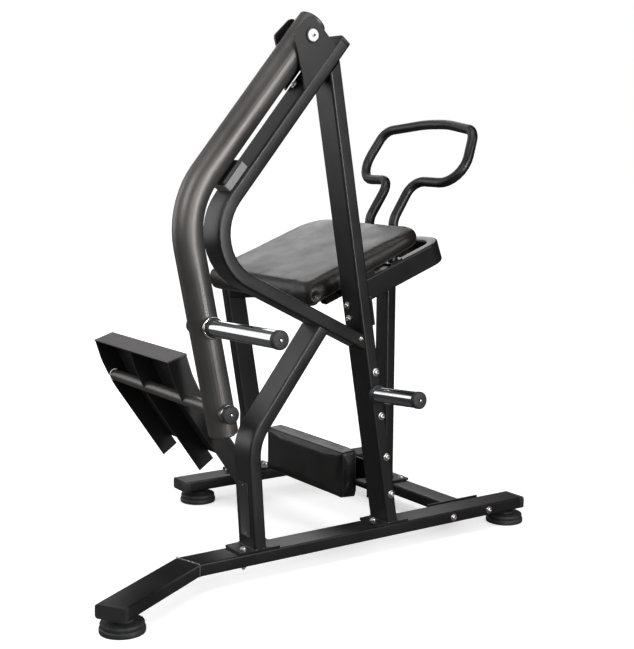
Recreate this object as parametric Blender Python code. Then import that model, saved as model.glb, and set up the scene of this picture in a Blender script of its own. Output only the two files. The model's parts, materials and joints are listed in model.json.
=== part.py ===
"""Plate-loaded standing rear-kick machine: a bolted tube frame, a swinging lever with a kick plate,
an inclined torso pad, a shin pad and a looped handlebar.

Metres, +Z up.  +X points from the kick plate towards the handlebar, -Y is the lever's side.
The origin is on the floor, in the middle of the near rear levelling foot.  Dimensions along X
below are laid out from the foot of the near upright; DATUM carries them to the origin.
"""
import math

import bmesh
import bpy
from mathutils import Matrix, Vector

for old in list(bpy.data.objects):
    bpy.data.objects.remove(old, do_unlink=True)

# ---------------------------------------------------------------- driving dimensions
GAP = 0.0003                 # air left between two pieces that touch
PLATE = 0.008                # thickness of base plates and ears
WALL = 0.003                 # wall of every frame tube

# floor frame
RAIL_W = 0.096               # rail width across
RAIL_H = 0.040               # rail height
RAIL_BOTTOM = 0.050          # underside of the rails above the floor
RAIL_TOP = RAIL_BOTTOM + RAIL_H
FAR_Y = 0.803                # centre line of the far rail
NEAR_RAIL_X = (-0.728, 0.556)
FAR_RAIL_X = (-0.303, 0.556)
SPLAY_ANGLE = math.radians(31.0)
SPLAY_LENGTH = 0.388
RAIL_CAP_T = 0.018           # how far the plastic plugs stand out of the rails
CROSS_X = 0.332              # centre of the cross beam
CROSS_W = 0.080

# near frame, all in the plane Y = 0
TUBE_W = 0.096               # width of the frame tube across Y
TUBE_T = 0.042               # its depth in the plane of the frame
UPRIGHT_FOOT_X = -0.005
UPRIGHT_LEAN = math.radians(9.6)
BOW_CORNER = Vector((-0.716, 0.0, 0.994))
BOW_UP = math.radians(50.3)
BOW_DOWN = math.radians(-27.0)
BOW_UPPER = 0.784            # from the bow's corner to its top end
BOW_BEND = 0.160
BOW_CAP_T = 0.012
LEG_FOOT_X = -0.505
LEG_KNEE = Vector((-0.527, 0.0, 0.426))
LEG_UP = math.radians(52.5)
LEG_BEND = 0.150

# lever
PIVOT = Vector((-0.335, 0.0, 1.613))
LEVER_CORNER = Vector((-0.739, 0.0, 1.124))
LEVER_R = 0.0445
LEVER_WALL = 0.004
LEVER_BEND = 0.250
LEVER_LOWER = 0.677          # from the lever's corner to its lower end
LEVER_TILT = math.radians(11.3)
EAR_IN = 0.0478              # inner face of each ear from the middle plane
EAR_HEAD = (Vector((-0.064, 0.0, 0.003)), Vector((-0.001, 0.0, 0.062)))    # corners about the pivot
EAR_ROUND = (0.020, 0.012)   # radius of each corner, upper first
EAR_FOOT = (0.585, 0.752)    # its ends along the bow, from the bow's corner
SHAFT_R = 0.015
HUB_R = 0.031

# plate horns, sized for 50 mm bores
HORN_R = 0.025
MAIN_HORN_Z = 0.779
MAIN_HORN_LENGTH = 0.395
MAIN_HORN_TILT = math.radians(2.0)
STORE_HORN_Z = 0.524
STORE_HORN_LENGTH = 0.215
STORE_HORN_TILT = math.radians(5.0)

# kick plate, turning on a bar through the lever's lower end
PEDAL = Vector((-0.6205, 0.0, 0.525))
PEDAL_BAR_R = 0.019
PEDAL_Y = (0.186, 0.706)     # outer faces of the end ribs
RIB_T = 0.006
RIB_DEPTH = 0.062

# user side
MID_Y = 0.420                # middle plane of pads, handlebar and seat post
SLOPE = math.radians(20.5)   # incline of the torso pad
FRAME_Z0 = 0.783             # height of the pad frame's top plane at X = 0
FRAME_HALF_Y = 0.080         # centre line of each arm from the middle plane
FRAME_X = (0.075, 0.485)     # arms' start, centre line of the nose
ARM_T = 0.040
ARM_H = 0.078
POST_X = 0.316
POST_TX = 0.040
POST_WY = 0.070
PAD_X = (-0.197, 0.290)
PAD_W = 0.650
PAD_EDGE = 0.052             # pad thickness at its edge
PAD_CROWN = 0.010
BOARD_T = 0.015
BOARD_INSET = 0.092          # flat middle of the pad's underside, inside its rounded rim
RISER_H = 0.083
BAR_R = 0.0175               # handlebar
BAR_SEAT_X = 0.290           # middle of the plate its legs stand on
SHIN_X = (-0.042, 0.018)
SHIN_Y = (0.180, 0.660)
SHIN_Z = (0.120, 0.285)

# levelling feet: centre of each; the rear near one is the origin of the finished machine
FOOT_R = 0.064
STEM_R = 0.006
DATUM = Vector((0.527, 0.0, 0.0))
FEET = {
    "front_near": (-1.026, -0.179),
    "front_far": (-0.247, FAR_Y),
    "rear_near": (DATUM.x, 0.0),
    "rear_far": (DATUM.x, FAR_Y),
}

X_AXIS = Vector((1, 0, 0))
Y_AXIS = Vector((0, 1, 0))
Z_AXIS = Vector((0, 0, 1))


# ---------------------------------------------------------------- materials
def material(name, colour, roughness, metallic):
    mat = bpy.data.materials.new(name)
    mat.use_nodes = True
    shader = mat.node_tree.nodes["Principled BSDF"]
    shader.inputs["Base Color"].default_value = (*colour, 1.0)
    shader.inputs["Roughness"].default_value = roughness
    shader.inputs["Metallic"].default_value = metallic
    mat.diffuse_color = (*colour, 1.0)
    return mat


FINISHES = {
    "frame": ((0.030, 0.030, 0.033), 0.42, 0.1),
    "lever": ((0.135, 0.130, 0.128), 0.34, 0.8),
    "chrome": ((0.80, 0.80, 0.81), 0.10, 1.0),
    "steel": ((0.56, 0.54, 0.51), 0.30, 1.0),
    "rubber": ((0.018, 0.018, 0.019), 0.65, 0.0),
    "plastic": ((0.022, 0.022, 0.024), 0.50, 0.0),
    "vinyl": ((0.030, 0.028, 0.026), 0.48, 0.0),
    "board": ((0.020, 0.020, 0.020), 0.70, 0.0),
    "washer": ((0.80, 0.80, 0.79), 0.35, 0.3),
    "grip": ((0.165, 0.160, 0.162), 0.62, 0.1),
}


# ---------------------------------------------------------------- mesh tools
def finish(bm, name, kind, sharp=35.0):
    """Turn a bmesh laid out from the upright's foot into a named object with its own material."""
    bmesh.ops.remove_doubles(bm, verts=bm.verts, dist=1e-7)
    bmesh.ops.recalc_face_normals(bm, faces=bm.faces)
    bmesh.ops.translate(bm, verts=bm.verts, vec=-DATUM)
    mesh = bpy.data.meshes.new(name)
    bm.to_mesh(mesh)
    bm.free()
    mesh.shade_smooth()
    mesh.set_sharp_from_angle(angle=math.radians(sharp))
    obj = bpy.data.objects.new(name, mesh)
    colour, roughness, metallic = FINISHES[kind]
    mesh.materials.append(material(name, colour, roughness, metallic))
    bpy.context.scene.collection.objects.link(obj)
    return obj


def hide(obj):
    obj.hide_render = True
    obj.display_type = "WIRE"
    return obj


def boolean(obj, other, operation):
    mod = obj.modifiers.new(operation.lower(), "BOOLEAN")
    mod.operation = operation
    mod.solver = "EXACT"
    mod.object = hide(other)


def cut(obj, *others):
    for other in others:
        boolean(obj, other, "DIFFERENCE")


def weld(obj, *others):
    for other in others:
        boolean(obj, other, "UNION")


def rounded_rect(width, height, radius, steps=2):
    """Counter-clockwise outline of a rectangle with rounded corners, about its centre."""
    points = []
    for quarter, (sx, sy) in enumerate(((1, 1), (-1, 1), (-1, -1), (1, -1))):
        centre = Vector((sx * (width / 2 - radius), sy * (height / 2 - radius)))
        for step in range(steps + 1):
            angle = math.radians(90 * quarter + 90 * step / steps)
            points.append(centre + radius * Vector((math.cos(angle), math.sin(angle))))
    return points


def circle(radius, count):
    turn = 2 * math.pi / count
    return [Vector((radius * math.cos(k * turn), radius * math.sin(k * turn))) for k in range(count)]


def rounded_path(corners, radii, steps):
    """A polyline whose inner corners become arcs of the given centre-line radii."""
    path = [corners[0]]
    for before, corner, after, radius in zip(corners, corners[1:], corners[2:], radii):
        if radius == 0:
            path.append(corner)
            continue
        into = (corner - before).normalized()
        out = (after - corner).normalized()
        turn = into.angle(out)
        reach = radius * math.tan(turn / 2)
        first = corner - into * reach
        inward = (out - into * into.dot(out)).normalized()
        for step in range(steps + 1):
            angle = turn * step / steps
            along = into * radius * math.sin(angle)
            path.append(first + along + inward * radius * (1 - math.cos(angle)))
    path.append(corners[-1])
    return path


def project(point, direction, plane):
    origin, normal = plane
    return point + direction * ((origin - point).dot(normal) / direction.dot(normal))


def rings_along(path, profile, across, start, end):
    """Sections of a sweep.  With across given, the path is flat and across is its normal."""
    tangents = [(b - a).normalized() for a, b in zip(path, path[1:])]
    rings = []
    side = across
    previous = tangents[0]
    if across is None:
        side = previous.orthogonal().normalized()
    for index, point in enumerate(path):
        into = tangents[max(index - 1, 0)]
        out = tangents[min(index, len(tangents) - 1)]
        tangent = (into + out).normalized()
        stretch = 1.0 / max(tangent.dot(out), 0.2)
        if across is None:
            side = previous.rotation_difference(tangent) @ side
            side = (side - tangent * side.dot(tangent)).normalized()
            previous = tangent
            stretch = 1.0
        normal = side.cross(tangent)
        rings.append([point + normal * p.x * stretch + side * p.y for p in profile])
    if start is not None:
        rings[0] = [project(p, tangents[0], start) for p in rings[0]]
    if end is not None:
        rings[-1] = [project(p, tangents[-1], end) for p in rings[-1]]
    return rings


def skin(bm, rings, flip=False):
    loops = [[bm.verts.new(p) for p in ring] for ring in rings]
    count = len(loops[0])
    for first, second in zip(loops, loops[1:]):
        for k in range(count):
            quad = [first[k], first[(k + 1) % count], second[(k + 1) % count], second[k]]
            bm.faces.new(quad[::-1] if flip else quad)
    return loops


def sweep(name, kind, path, outer, inner=None, across=None, start=None, end=None):
    """Sweep a profile along a path: a solid bar, or a tube open at both ends if inner is given."""
    bm = bmesh.new()
    shell = skin(bm, rings_along(path, outer, across, start, end))
    if inner is None:
        bm.faces.new(shell[0][::-1])
        bm.faces.new(shell[-1])
        return finish(bm, name, kind)
    core = skin(bm, rings_along(path, inner, across, start, end), flip=True)
    count = len(outer)
    for loop_out, loop_in in ((shell[0], core[0]), (shell[-1], core[-1])):
        for k in range(count):
            n = (k + 1) % count
            bm.faces.new((loop_out[k], loop_out[n], loop_in[n], loop_in[k]))
    return finish(bm, name, kind)


def box_tube(name, path, in_plane, over, across, start=None, end=None, radius=0.007):
    """Rectangular frame tube: in_plane is its size in the path's plane, over is its size along across."""
    outer = rounded_rect(in_plane, over, radius)
    inner = rounded_rect(in_plane - 2 * WALL, over - 2 * WALL, radius - WALL)
    return sweep(name, "frame", path, outer, inner, across, start, end)


def lathe(bm, origin, axis, profile, segments, closed=False):
    """Turn (radius, distance along axis) points about an axis into a closed solid."""
    axis = axis.normalized()
    side = axis.orthogonal().normalized()
    other = axis.cross(side)
    loops = []
    for radius, along in profile:
        centre = origin + axis * along
        if radius == 0:
            loops.append([bm.verts.new(centre)])
            continue
        ring = []
        for k in range(segments):
            angle = 2 * math.pi * k / segments
            ring.append(bm.verts.new(centre + radius * (side * math.cos(angle) + other * math.sin(angle))))
        loops.append(ring)
    pairs = list(zip(loops, loops[1:]))
    if closed:
        pairs.append((loops[-1], loops[0]))
    for first, second in pairs:
        for k in range(segments):
            n = (k + 1) % segments
            if len(first) == 1:
                bm.faces.new((first[0], second[n], second[k]))
            elif len(second) == 1:
                bm.faces.new((first[k], first[n], second[0]))
            else:
                bm.faces.new((first[k], first[n], second[n], second[k]))


def turned(name, kind, origin, axis, profile, segments=32, closed=False):
    bm = bmesh.new()
    lathe(bm, Vector(origin), Vector(axis), profile, segments, closed)
    return finish(bm, name, kind)


def disc(radius, length, start=0.0):
    return [(0, start), (radius, start), (radius, start + length), (0, start + length)]


def ring(inside, outside, length, start=0.0):
    return [(inside, start), (outside, start), (outside, start + length), (inside, start + length)]


def prism(bm, outline, origin, x_dir, y_dir, thickness):
    """Extrude a flat outline from origin along x_dir cross y_dir."""
    normal = x_dir.cross(y_dir).normalized()
    low = [bm.verts.new(origin + x_dir * p[0] + y_dir * p[1]) for p in outline]
    high = [bm.verts.new(v.co + normal * thickness) for v in low]
    bm.faces.new(low[::-1])
    bm.faces.new(high)
    for k in range(len(low)):
        n = (k + 1) % len(low)
        bm.faces.new((low[k], low[n], high[n], high[k]))


def plate(name, kind, outline, origin, x_dir, y_dir, thickness):
    bm = bmesh.new()
    prism(bm, outline, Vector(origin), Vector(x_dir), Vector(y_dir), thickness)
    return finish(bm, name, kind)


def block(name, kind, centre, size, radius=0.004):
    """A box with rounded vertical edges."""
    outline = rounded_rect(size[0], size[1], radius)
    origin = Vector(centre) - Z_AXIS * size[2] / 2
    return plate(name, kind, outline, origin, X_AXIS, Y_AXIS, size[2])


def holes(name, spots, radius, segments=16):
    """One hidden cutter made of a cylinder for each (start, direction, length)."""
    bm = bmesh.new()
    for start, direction, length in spots:
        lathe(bm, Vector(start), Vector(direction), disc(radius, length), segments)
    return finish(bm, name, "steel")


def carry(parent, *objects):
    """Hang finished world-space objects on an empty, so that they turn about its origin."""
    for obj in objects:
        obj.data.transform(Matrix.Translation(-parent.location))
        obj.parent = parent
        for mod in obj.modifiers:
            helper = mod.object
            if helper is not None and helper.parent is None:
                helper.data.transform(Matrix.Translation(-parent.location))
                helper.parent = parent


def axis_empty(name, location):
    empty = bpy.data.objects.new(name, None)
    empty.location = Vector(location) - DATUM
    bpy.context.scene.collection.objects.link(empty)
    bpy.context.view_layer.update()
    return empty


# ---------------------------------------------------------------- fasteners
BOLT_R = 0.005
HEAD_R = 0.0095
HEAD_H = 0.0065
WASHER_R = 0.0125
WASHER_T = 0.0016


def bolt_profile(shank):
    """Washer, domed socket head and shank in one turned profile; 0 is the face under the washer."""
    return [
        (0, -shank), (BOLT_R, -shank), (BOLT_R, 0), (WASHER_R, 0), (WASHER_R, WASHER_T),
        (HEAD_R, WASHER_T), (HEAD_R, WASHER_T + 0.6 * HEAD_H), (0.72 * HEAD_R, WASHER_T + HEAD_H),
        (0.38 * HEAD_R, WASHER_T + HEAD_H), (0.38 * HEAD_R, WASHER_T + 0.5 * HEAD_H),
        (0, WASHER_T + 0.5 * HEAD_H),
    ]


def bolt(name, seat, outward, shank):
    return turned(name, "steel", Vector(seat) + outward * GAP, outward, bolt_profile(shank), 12)


def bolt_holes(name, spots, extra=0.004):
    """Clearance holes for bolts given as (name, seat, outward direction, shank length)."""
    cuts = []
    for _, seat, outward, shank in spots:
        cuts.append((Vector(seat) + outward * extra, -outward, shank + 2 * extra))
    return holes(name, cuts, BOLT_R + GAP, 12)


# ---------------------------------------------------------------- floor frame
splay = Vector((-math.cos(SPLAY_ANGLE), -math.sin(SPLAY_ANGLE), 0))
rail_mid_z = RAIL_BOTTOM + RAIL_H / 2
kink = Vector((NEAR_RAIL_X[0], 0, rail_mid_z))
splay_end = kink + splay * SPLAY_LENGTH
near_end = Vector((NEAR_RAIL_X[1], 0, rail_mid_z))
far_start = Vector((FAR_RAIL_X[0], FAR_Y, rail_mid_z))
far_end = Vector((FAR_RAIL_X[1], FAR_Y, rail_mid_z))
near_rail = box_tube("near_rail", [near_end, kink, splay_end], RAIL_W, RAIL_H, Z_AXIS)
far_rail = box_tube("far_rail", [far_end, far_start], RAIL_W, RAIL_H, Z_AXIS)


def cross_beam():
    """Beam between the rails with a bolted flange welded on each end."""
    low = RAIL_W / 2 + GAP
    high = FAR_Y - RAIL_W / 2 - GAP
    start = Vector((CROSS_X, low + 0.004, rail_mid_z))
    stop = Vector((CROSS_X, high - 0.004, rail_mid_z))
    beam = box_tube("cross_beam", [start, stop], CROSS_W, RAIL_H, Z_AXIS)
    for name, y in (("near", low + 0.003), ("far", high - 0.003)):
        size = (0.220, 0.006, 0.048)
        weld(beam, block(f"cut_flange_{name}", "frame", (CROSS_X, y, rail_mid_z), size, 0.001))
    drain = (CROSS_X, low - 0.002, rail_mid_z)
    cut(beam, holes("cut_beam_drain", [(drain, Y_AXIS, high - low + 0.004)], 0.008))
    return beam


cross = cross_beam()
flange_spots = []
for name, bolt_x in (("front", 0.253), ("rear", 0.411)):
    seat = (bolt_x, -RAIL_W / 2, rail_mid_z)
    flange_spots.append((f"cross_beam_bolt_{name}", seat, -Y_AXIS, RAIL_W + 0.012))
base_seat = (-0.048, 0, RAIL_TOP + PLATE + GAP)
base_spots = [("upright_base_bolt", base_seat, Z_AXIS, RAIL_H + PLATE + 0.004)]


def end_cap(name, point, outward, across, over, width, height, thickness):
    """Plastic plug on an open tube end."""
    outline = rounded_rect(width, height, 0.007)
    return plate(name, "plastic", outline, point + outward * GAP, across, over, thickness)


def rail_caps():
    ends = (("near_rail_front_cap", splay_end, splay), ("near_rail_rear_cap", near_end, X_AXIS),
            ("far_rail_front_cap", far_start, -X_AXIS), ("far_rail_rear_cap", far_end, X_AXIS))
    for name, point, outward in ends:
        end_cap(name, point, outward, Z_AXIS.cross(outward), Z_AXIS, RAIL_W, RAIL_H, RAIL_CAP_T)


rail_caps()

# ---------------------------------------------------------------- near frame
upright_dir = Vector((-math.sin(UPRIGHT_LEAN), 0, math.cos(UPRIGHT_LEAN)))
bow_up = Vector((math.cos(BOW_UP), 0, math.sin(BOW_UP)))
bow_down = Vector((math.cos(BOW_DOWN), 0, math.sin(BOW_DOWN)))
bow_up_normal = Vector((-bow_up.z, 0, bow_up.x))
bow_down_normal = Vector((bow_down.z, 0, -bow_down.x))
plate_top = RAIL_TOP + GAP + PLATE
upright_foot = Vector((UPRIGHT_FOOT_X, 0, plate_top))
upright_normal = Vector((-math.cos(UPRIGHT_LEAN), 0, -math.sin(UPRIGHT_LEAN)))


def upright_x(height):
    """Centre line of the upright at a height."""
    return UPRIGHT_FOOT_X - math.tan(UPRIGHT_LEAN) * (height - plate_top)


def base_plate(name, x, y, length, width):
    return block(name, "frame", (x, y, RAIL_TOP + GAP + PLATE / 2), (length, width, PLATE), 0.003)


def near_upright():
    under_bow = BOW_CORNER - bow_up_normal * (TUBE_T / 2 + GAP)
    path = [upright_foot, upright_foot + upright_dir * 1.45]
    floor = (upright_foot - Z_AXIS * 0.004, Z_AXIS)
    tube = box_tube("near_upright", path, TUBE_T, TUBE_W, Y_AXIS, floor, (under_bow, bow_up_normal))
    weld(tube, base_plate("cut_upright_plate", -0.004, 0, 0.128, RAIL_W))
    return tube


def bow_tube():
    face = Vector((upright_x(0.70), 0, 0.70)) + upright_normal * (TUBE_T / 2 + GAP)
    top = BOW_CORNER + bow_up * BOW_UPPER
    bottom = BOW_CORNER + bow_down * 0.60
    path = rounded_path([top, BOW_CORNER, bottom], [BOW_BEND], 12)
    return box_tube("bow_tube", path, TUBE_T, TUBE_W, Y_AXIS, None, (face, upright_normal))


def near_leg():
    knee_dir = Vector((math.cos(LEG_UP), 0, math.sin(LEG_UP)))
    under_bow = BOW_CORNER + bow_down_normal * (TUBE_T / 2 + GAP)
    foot = Vector((LEG_FOOT_X, 0, plate_top - 0.004))
    path = rounded_path([foot, LEG_KNEE, LEG_KNEE + knee_dir * 0.40], [LEG_BEND], 7)
    tube = box_tube("near_leg", path, TUBE_T, TUBE_W, Y_AXIS, (foot, Z_AXIS), (under_bow, bow_down_normal))
    weld(tube, base_plate("cut_leg_plate", LEG_FOOT_X, 0, 0.138, RAIL_W))
    return tube


upright = near_upright()
bow_tube()
near_leg()
end_cap("bow_top_cap", BOW_CORNER + bow_up * BOW_UPPER, bow_up, -bow_up_normal, Y_AXIS, TUBE_T, TUBE_W,
        BOW_CAP_T)


# ---------------------------------------------------------------- pivot ears and shaft
def ear_outline():
    """Ear in (X, Z) about the pivot: a head with two rounded corners on a foot along the bow's upper face."""
    face = BOW_CORNER + bow_up_normal * (TUBE_T / 2 + GAP) - PIVOT
    feet = [face + bow_up * along for along in EAR_FOOT]
    path = rounded_path([feet[1], EAR_HEAD[1], EAR_HEAD[0], feet[0]], EAR_ROUND, 5)
    return [(point.x, point.z) for point in path][::-1]


def pivot_ears():
    ears = []
    for name, y in (("near", -EAR_IN - PLATE), ("far", EAR_IN)):
        origin = PIVOT + Y_AXIS * (y + PLATE)
        ear = plate(f"pivot_ear_{name}", "frame", ear_outline(), origin, X_AXIS, Z_AXIS, PLATE)
        cut(ear, holes(f"cut_ear_{name}", [(origin + Y_AXIS * 0.01, (0, -1, 0), 0.03)], SHAFT_R + GAP, 32))
        ears.append(ear)
    return ears


pivot_ears()
shaft_half = EAR_IN + PLATE + 0.001
turned("pivot_shaft", "steel", PIVOT - Y_AXIS * shaft_half, Y_AXIS, disc(SHAFT_R, 2 * shaft_half))


def pivot_washers():
    """A screwed retaining washer at each end of the shaft."""
    profile = [(0, 0), (0.018, 0), (0.018, 0.0035), (0.006, 0.0035), (0.006, 0.007), (0.004, 0.0085),
               (0, 0.0085)]
    for name, outward in (("near", -Y_AXIS), ("far", Y_AXIS)):
        face = PIVOT + outward * (shaft_half + GAP)
        turned(f"pivot_washer_{name}", "washer", face, outward, profile, 24)


pivot_washers()

# ---------------------------------------------------------------- lever stop on the bow
def lever_stop():
    stop_along = 0.251
    face = BOW_CORNER + bow_up * stop_along + bow_up_normal * (TUBE_T / 2 + GAP)
    outline = rounded_rect(0.092, 0.074, 0.004)
    plate("lever_stop_block", "grip", outline, face, bow_up, Y_AXIS, 0.024)
    rubber = rounded_rect(0.084, 0.066, 0.006)
    start = face + bow_up_normal * (0.024 + GAP)
    upper_dir = (PIVOT - LEVER_CORNER).normalized()
    lever_normal = Vector((-upper_dir.z, 0, upper_dir.x))
    room = (LEVER_CORNER - lever_normal * LEVER_R - start).dot(lever_normal)
    plate("lever_stop_bumper", "rubber", rubber, start, bow_up, Y_AXIS, room - 0.0012)


lever_stop()

# ---------------------------------------------------------------- lever
lever_axis = axis_empty("lever_axis", PIVOT)
upper_dir = (PIVOT - LEVER_CORNER).normalized()
lower_dir = Vector((math.sin(LEVER_TILT), 0, -math.cos(LEVER_TILT)))
lever_top = PIVOT + upper_dir * (LEVER_R + 0.010)
lever_bottom = LEVER_CORNER + lower_dir * LEVER_LOWER


def lever_x(height):
    """Centre line of the lever's lower run at a height."""
    return LEVER_CORNER.x + math.tan(LEVER_TILT) * (LEVER_CORNER.z - height)


def lever_parts():
    path = rounded_path([lever_top, LEVER_CORNER, lever_bottom], [LEVER_BEND], 9)
    sides = 28
    bore = circle(LEVER_R - LEVER_WALL, sides)
    tube = sweep("lever_tube", "lever", path, circle(LEVER_R, sides), bore, Y_AXIS)
    cross = holes("cut_hub", [(PIVOT - Y_AXIS * 0.06, (0, 1, 0), 0.12)], HUB_R + GAP, 28)
    sleeve = holes("cut_sleeve", [(PEDAL - Y_AXIS * 0.06, (0, 1, 0), 0.12)], 0.0272 + GAP, 28)
    horn_at = Vector((lever_x(MAIN_HORN_Z), 0, MAIN_HORN_Z))
    horn_dir = Vector((0, -math.cos(MAIN_HORN_TILT), math.sin(MAIN_HORN_TILT)))
    core = holes("cut_horn", [(horn_at - horn_dir * 0.06, horn_dir, 0.12)], 0.016 + GAP, 20)
    cut(tube, cross, sleeve, core)
    parts = [tube]
    parts.append(turned("lever_top_cap", "frame", lever_top + upper_dir * GAP, upper_dir,
                        [(0, 0), (LEVER_R - 0.0005, 0), (LEVER_R - 0.0005, 0.002), (LEVER_R - 0.006, 0.006),
                         (0, 0.0075)], 28))
    parts.append(turned("lever_bottom_cap", "lever", lever_bottom + lower_dir * GAP, lower_dir,
                        [(0, 0), (LEVER_R - 0.002, 0), (LEVER_R - 0.002, 0.004), (LEVER_R - 0.008, 0.009),
                         (0, 0.011)], 28))
    hub_half = 0.0465
    parts.append(turned("pivot_hub", "lever", PIVOT - Y_AXIS * hub_half, Y_AXIS,
                        ring(0.0262, HUB_R, 2 * hub_half), 28, True))
    for name, y in (("near", -hub_half + 0.001), ("far", hub_half - 0.017)):
        parts.append(turned(f"pivot_bearing_{name}", "steel", PIVOT + Y_AXIS * y, Y_AXIS,
                            ring(SHAFT_R + GAP, 0.0262 - GAP, 0.016), 28, True))
    parts.append(turned("pedal_sleeve", "lever", PEDAL - Y_AXIS * 0.056, Y_AXIS,
                        ring(0.0222, 0.0272, 0.112), 28, True))
    parts.append(turned("pedal_bush", "plastic", PEDAL - Y_AXIS * 0.056, Y_AXIS,
                        ring(PEDAL_BAR_R + GAP, 0.0222 - GAP, 0.112), 28, True))
    parts += main_horn(horn_at, horn_dir)
    return parts


def horn_cap(radius, length):
    return [(0, 0), (radius, 0), (radius, length - 0.004), (radius - 0.004, length), (0.006, length),
            (0.006, length - 0.003), (0, length - 0.003)]


def main_horn(at, direction):
    """Plate horn on the lever: its stem passes through the tube, a flange and a rubber collar."""
    root = LEVER_R + 0.0035
    parts = []
    parts.append(turned("main_horn_flange", "chrome", at + direction * root, direction,
                        [(0.0163, 0), (0.031, 0), (0.033, 0.002), (0.033, 0.007), (0.031, 0.009),
                         (0.0163, 0.009)],
                        32, True))
    parts.append(turned("main_horn_collar", "rubber", at + direction * (root + 0.0093), direction,
                        ring(0.0163, 0.0275, 0.012), 32, True))
    shoulder = root + 0.0216
    parts.append(turned("main_horn", "chrome", at, direction,
                        [(0, -0.052), (0.016, -0.052), (0.016, shoulder), (HORN_R, shoulder),
                         (HORN_R, MAIN_HORN_LENGTH), (0, MAIN_HORN_LENGTH)], 32))
    parts.append(turned("main_horn_cap", "rubber", at + direction * (MAIN_HORN_LENGTH + GAP), direction,
                        horn_cap(0.0265, 0.016), 32))
    parts.append(turned("main_horn_back_cap", "rubber", at - direction * 0.0525, -direction,
                        horn_cap(0.025, 0.012), 28))
    return parts


carry(lever_axis, *lever_parts())

# ---------------------------------------------------------------- storage horn
def storage_horn():
    at = Vector((upright_x(STORE_HORN_Z), -TUBE_W / 2, STORE_HORN_Z))
    direction = Vector((0, -math.cos(STORE_HORN_TILT), math.sin(STORE_HORN_TILT)))
    turned("storage_horn_flange", "plastic", at - Y_AXIS * GAP, -Y_AXIS,
           [(0, 0), (0.031, 0), (0.031, 0.006), (0.0275, 0.009), (0, 0.009)], 28)
    base = at - Y_AXIS * (0.0093 + GAP + math.tan(STORE_HORN_TILT) * HORN_R)
    turned("storage_horn", "chrome", base, direction, disc(HORN_R, STORE_HORN_LENGTH - 0.0257), 32)
    turned("storage_horn_cap", "rubber", base + direction * (STORE_HORN_LENGTH - 0.0254), direction,
           horn_cap(0.0265, 0.016), 32)


storage_horn()

# ---------------------------------------------------------------- kick plate
pedal_axis = axis_empty("pedal_axis", PEDAL)
RIB_FRONT = [(-0.688, 0.645), (-0.667, 0.579), (-0.628, 0.499), (-0.438, 0.222)]


def rib_curve():
    """Front edge of a rib as a smooth line in the XZ plane, from top to bottom."""
    corners = [Vector((x, 0, z)) for x, z in RIB_FRONT]
    return rounded_path(corners, [0.25, 0.45], 5)


def offset_curve(points, distance):
    """Move a curve in the XZ plane towards +X by a distance along its own normal."""
    moved = []
    for index, point in enumerate(points):
        before = points[max(index - 1, 0)]
        after = points[min(index + 1, len(points) - 1)]
        along = (after - before).normalized()
        moved.append(point + Vector((-along.z, 0, along.x)) * distance)
    return moved


def kick_plate():
    front = rib_curve()
    back = offset_curve(front, RIB_DEPTH)
    parts = []
    rib_ys = (PEDAL_Y[0], (PEDAL_Y[0] + PEDAL_Y[1] - RIB_T) / 2, PEDAL_Y[1] - RIB_T)
    outline = [(p.x, p.z) for p in front + back[::-1]]
    for name, y in zip(("near", "middle", "far"), rib_ys):
        rib = plate(f"pedal_rib_{name}", "frame", outline, (0, y + RIB_T, 0), X_AXIS, Z_AXIS, RIB_T)
        bore = [(PEDAL + Y_AXIS * (y - 0.01), (0, 1, 0), 0.03)]
        cut(rib, holes(f"cut_rib_{name}", bore, PEDAL_BAR_R + GAP, 28))
        parts.append(rib)
    treaded = front[:-1] + [front[-2].lerp(front[-1], 0.88)]
    tread_back = offset_curve(treaded, RIB_DEPTH + GAP + 0.004)
    tread_front = offset_curve(treaded, RIB_DEPTH + GAP)
    rise = (front[0] - front[1]).normalized()
    tread_back[0] = tread_back[0] + rise * 0.002
    tread_front[0] = tread_front[0] + rise * 0.002
    outline = [(p.x, p.z) for p in tread_front + tread_back[::-1]]
    width = PEDAL_Y[1] - PEDAL_Y[0]
    tread = plate("pedal_tread", "grip", outline, (0, PEDAL_Y[1], 0), X_AXIS, Z_AXIS, width)
    parts.append(tread)
    depth = (back[0] - front[0]).normalized()
    lip_a = front[0] - depth * 0.002 + rise * 0.0005
    lip_b = back[0] + depth * 0.006 + rise * 0.0005
    lip = [lip_a, lip_b, lip_b + rise * 0.004, lip_a + rise * 0.004]
    outline = [(p.x, p.z) for p in lip]
    weld(tread, plate("cut_lip", "grip", outline, (0, PEDAL_Y[1], 0), X_AXIS, Z_AXIS, width))
    parts.append(turned("pedal_bar", "lever", PEDAL - Y_AXIS * 0.0605, Y_AXIS,
                        disc(PEDAL_BAR_R, 0.0605 + PEDAL_Y[1] - RIB_T - 0.001), 28))
    parts.append(turned("pedal_bar_cap", "rubber", PEDAL - Y_AXIS * (0.0605 + GAP), -Y_AXIS,
                        horn_cap(0.0268, 0.013), 28))
    return parts


carry(pedal_axis, *kick_plate())
pedal_axis.parent = lever_axis
pedal_axis.location = PEDAL - PIVOT

# ---------------------------------------------------------------- pad frame on its posts
slope_dir = Vector((math.cos(SLOPE), 0, math.sin(SLOPE)))
slope_up = Vector((-math.sin(SLOPE), 0, math.cos(SLOPE)))


def on_slope(x, y, above):
    """Point over the pad frame's top plane, above it along the plane's normal, at a world X."""
    base = Vector((x, y, FRAME_Z0 + math.tan(SLOPE) * x))
    return base + slope_up * above


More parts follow.
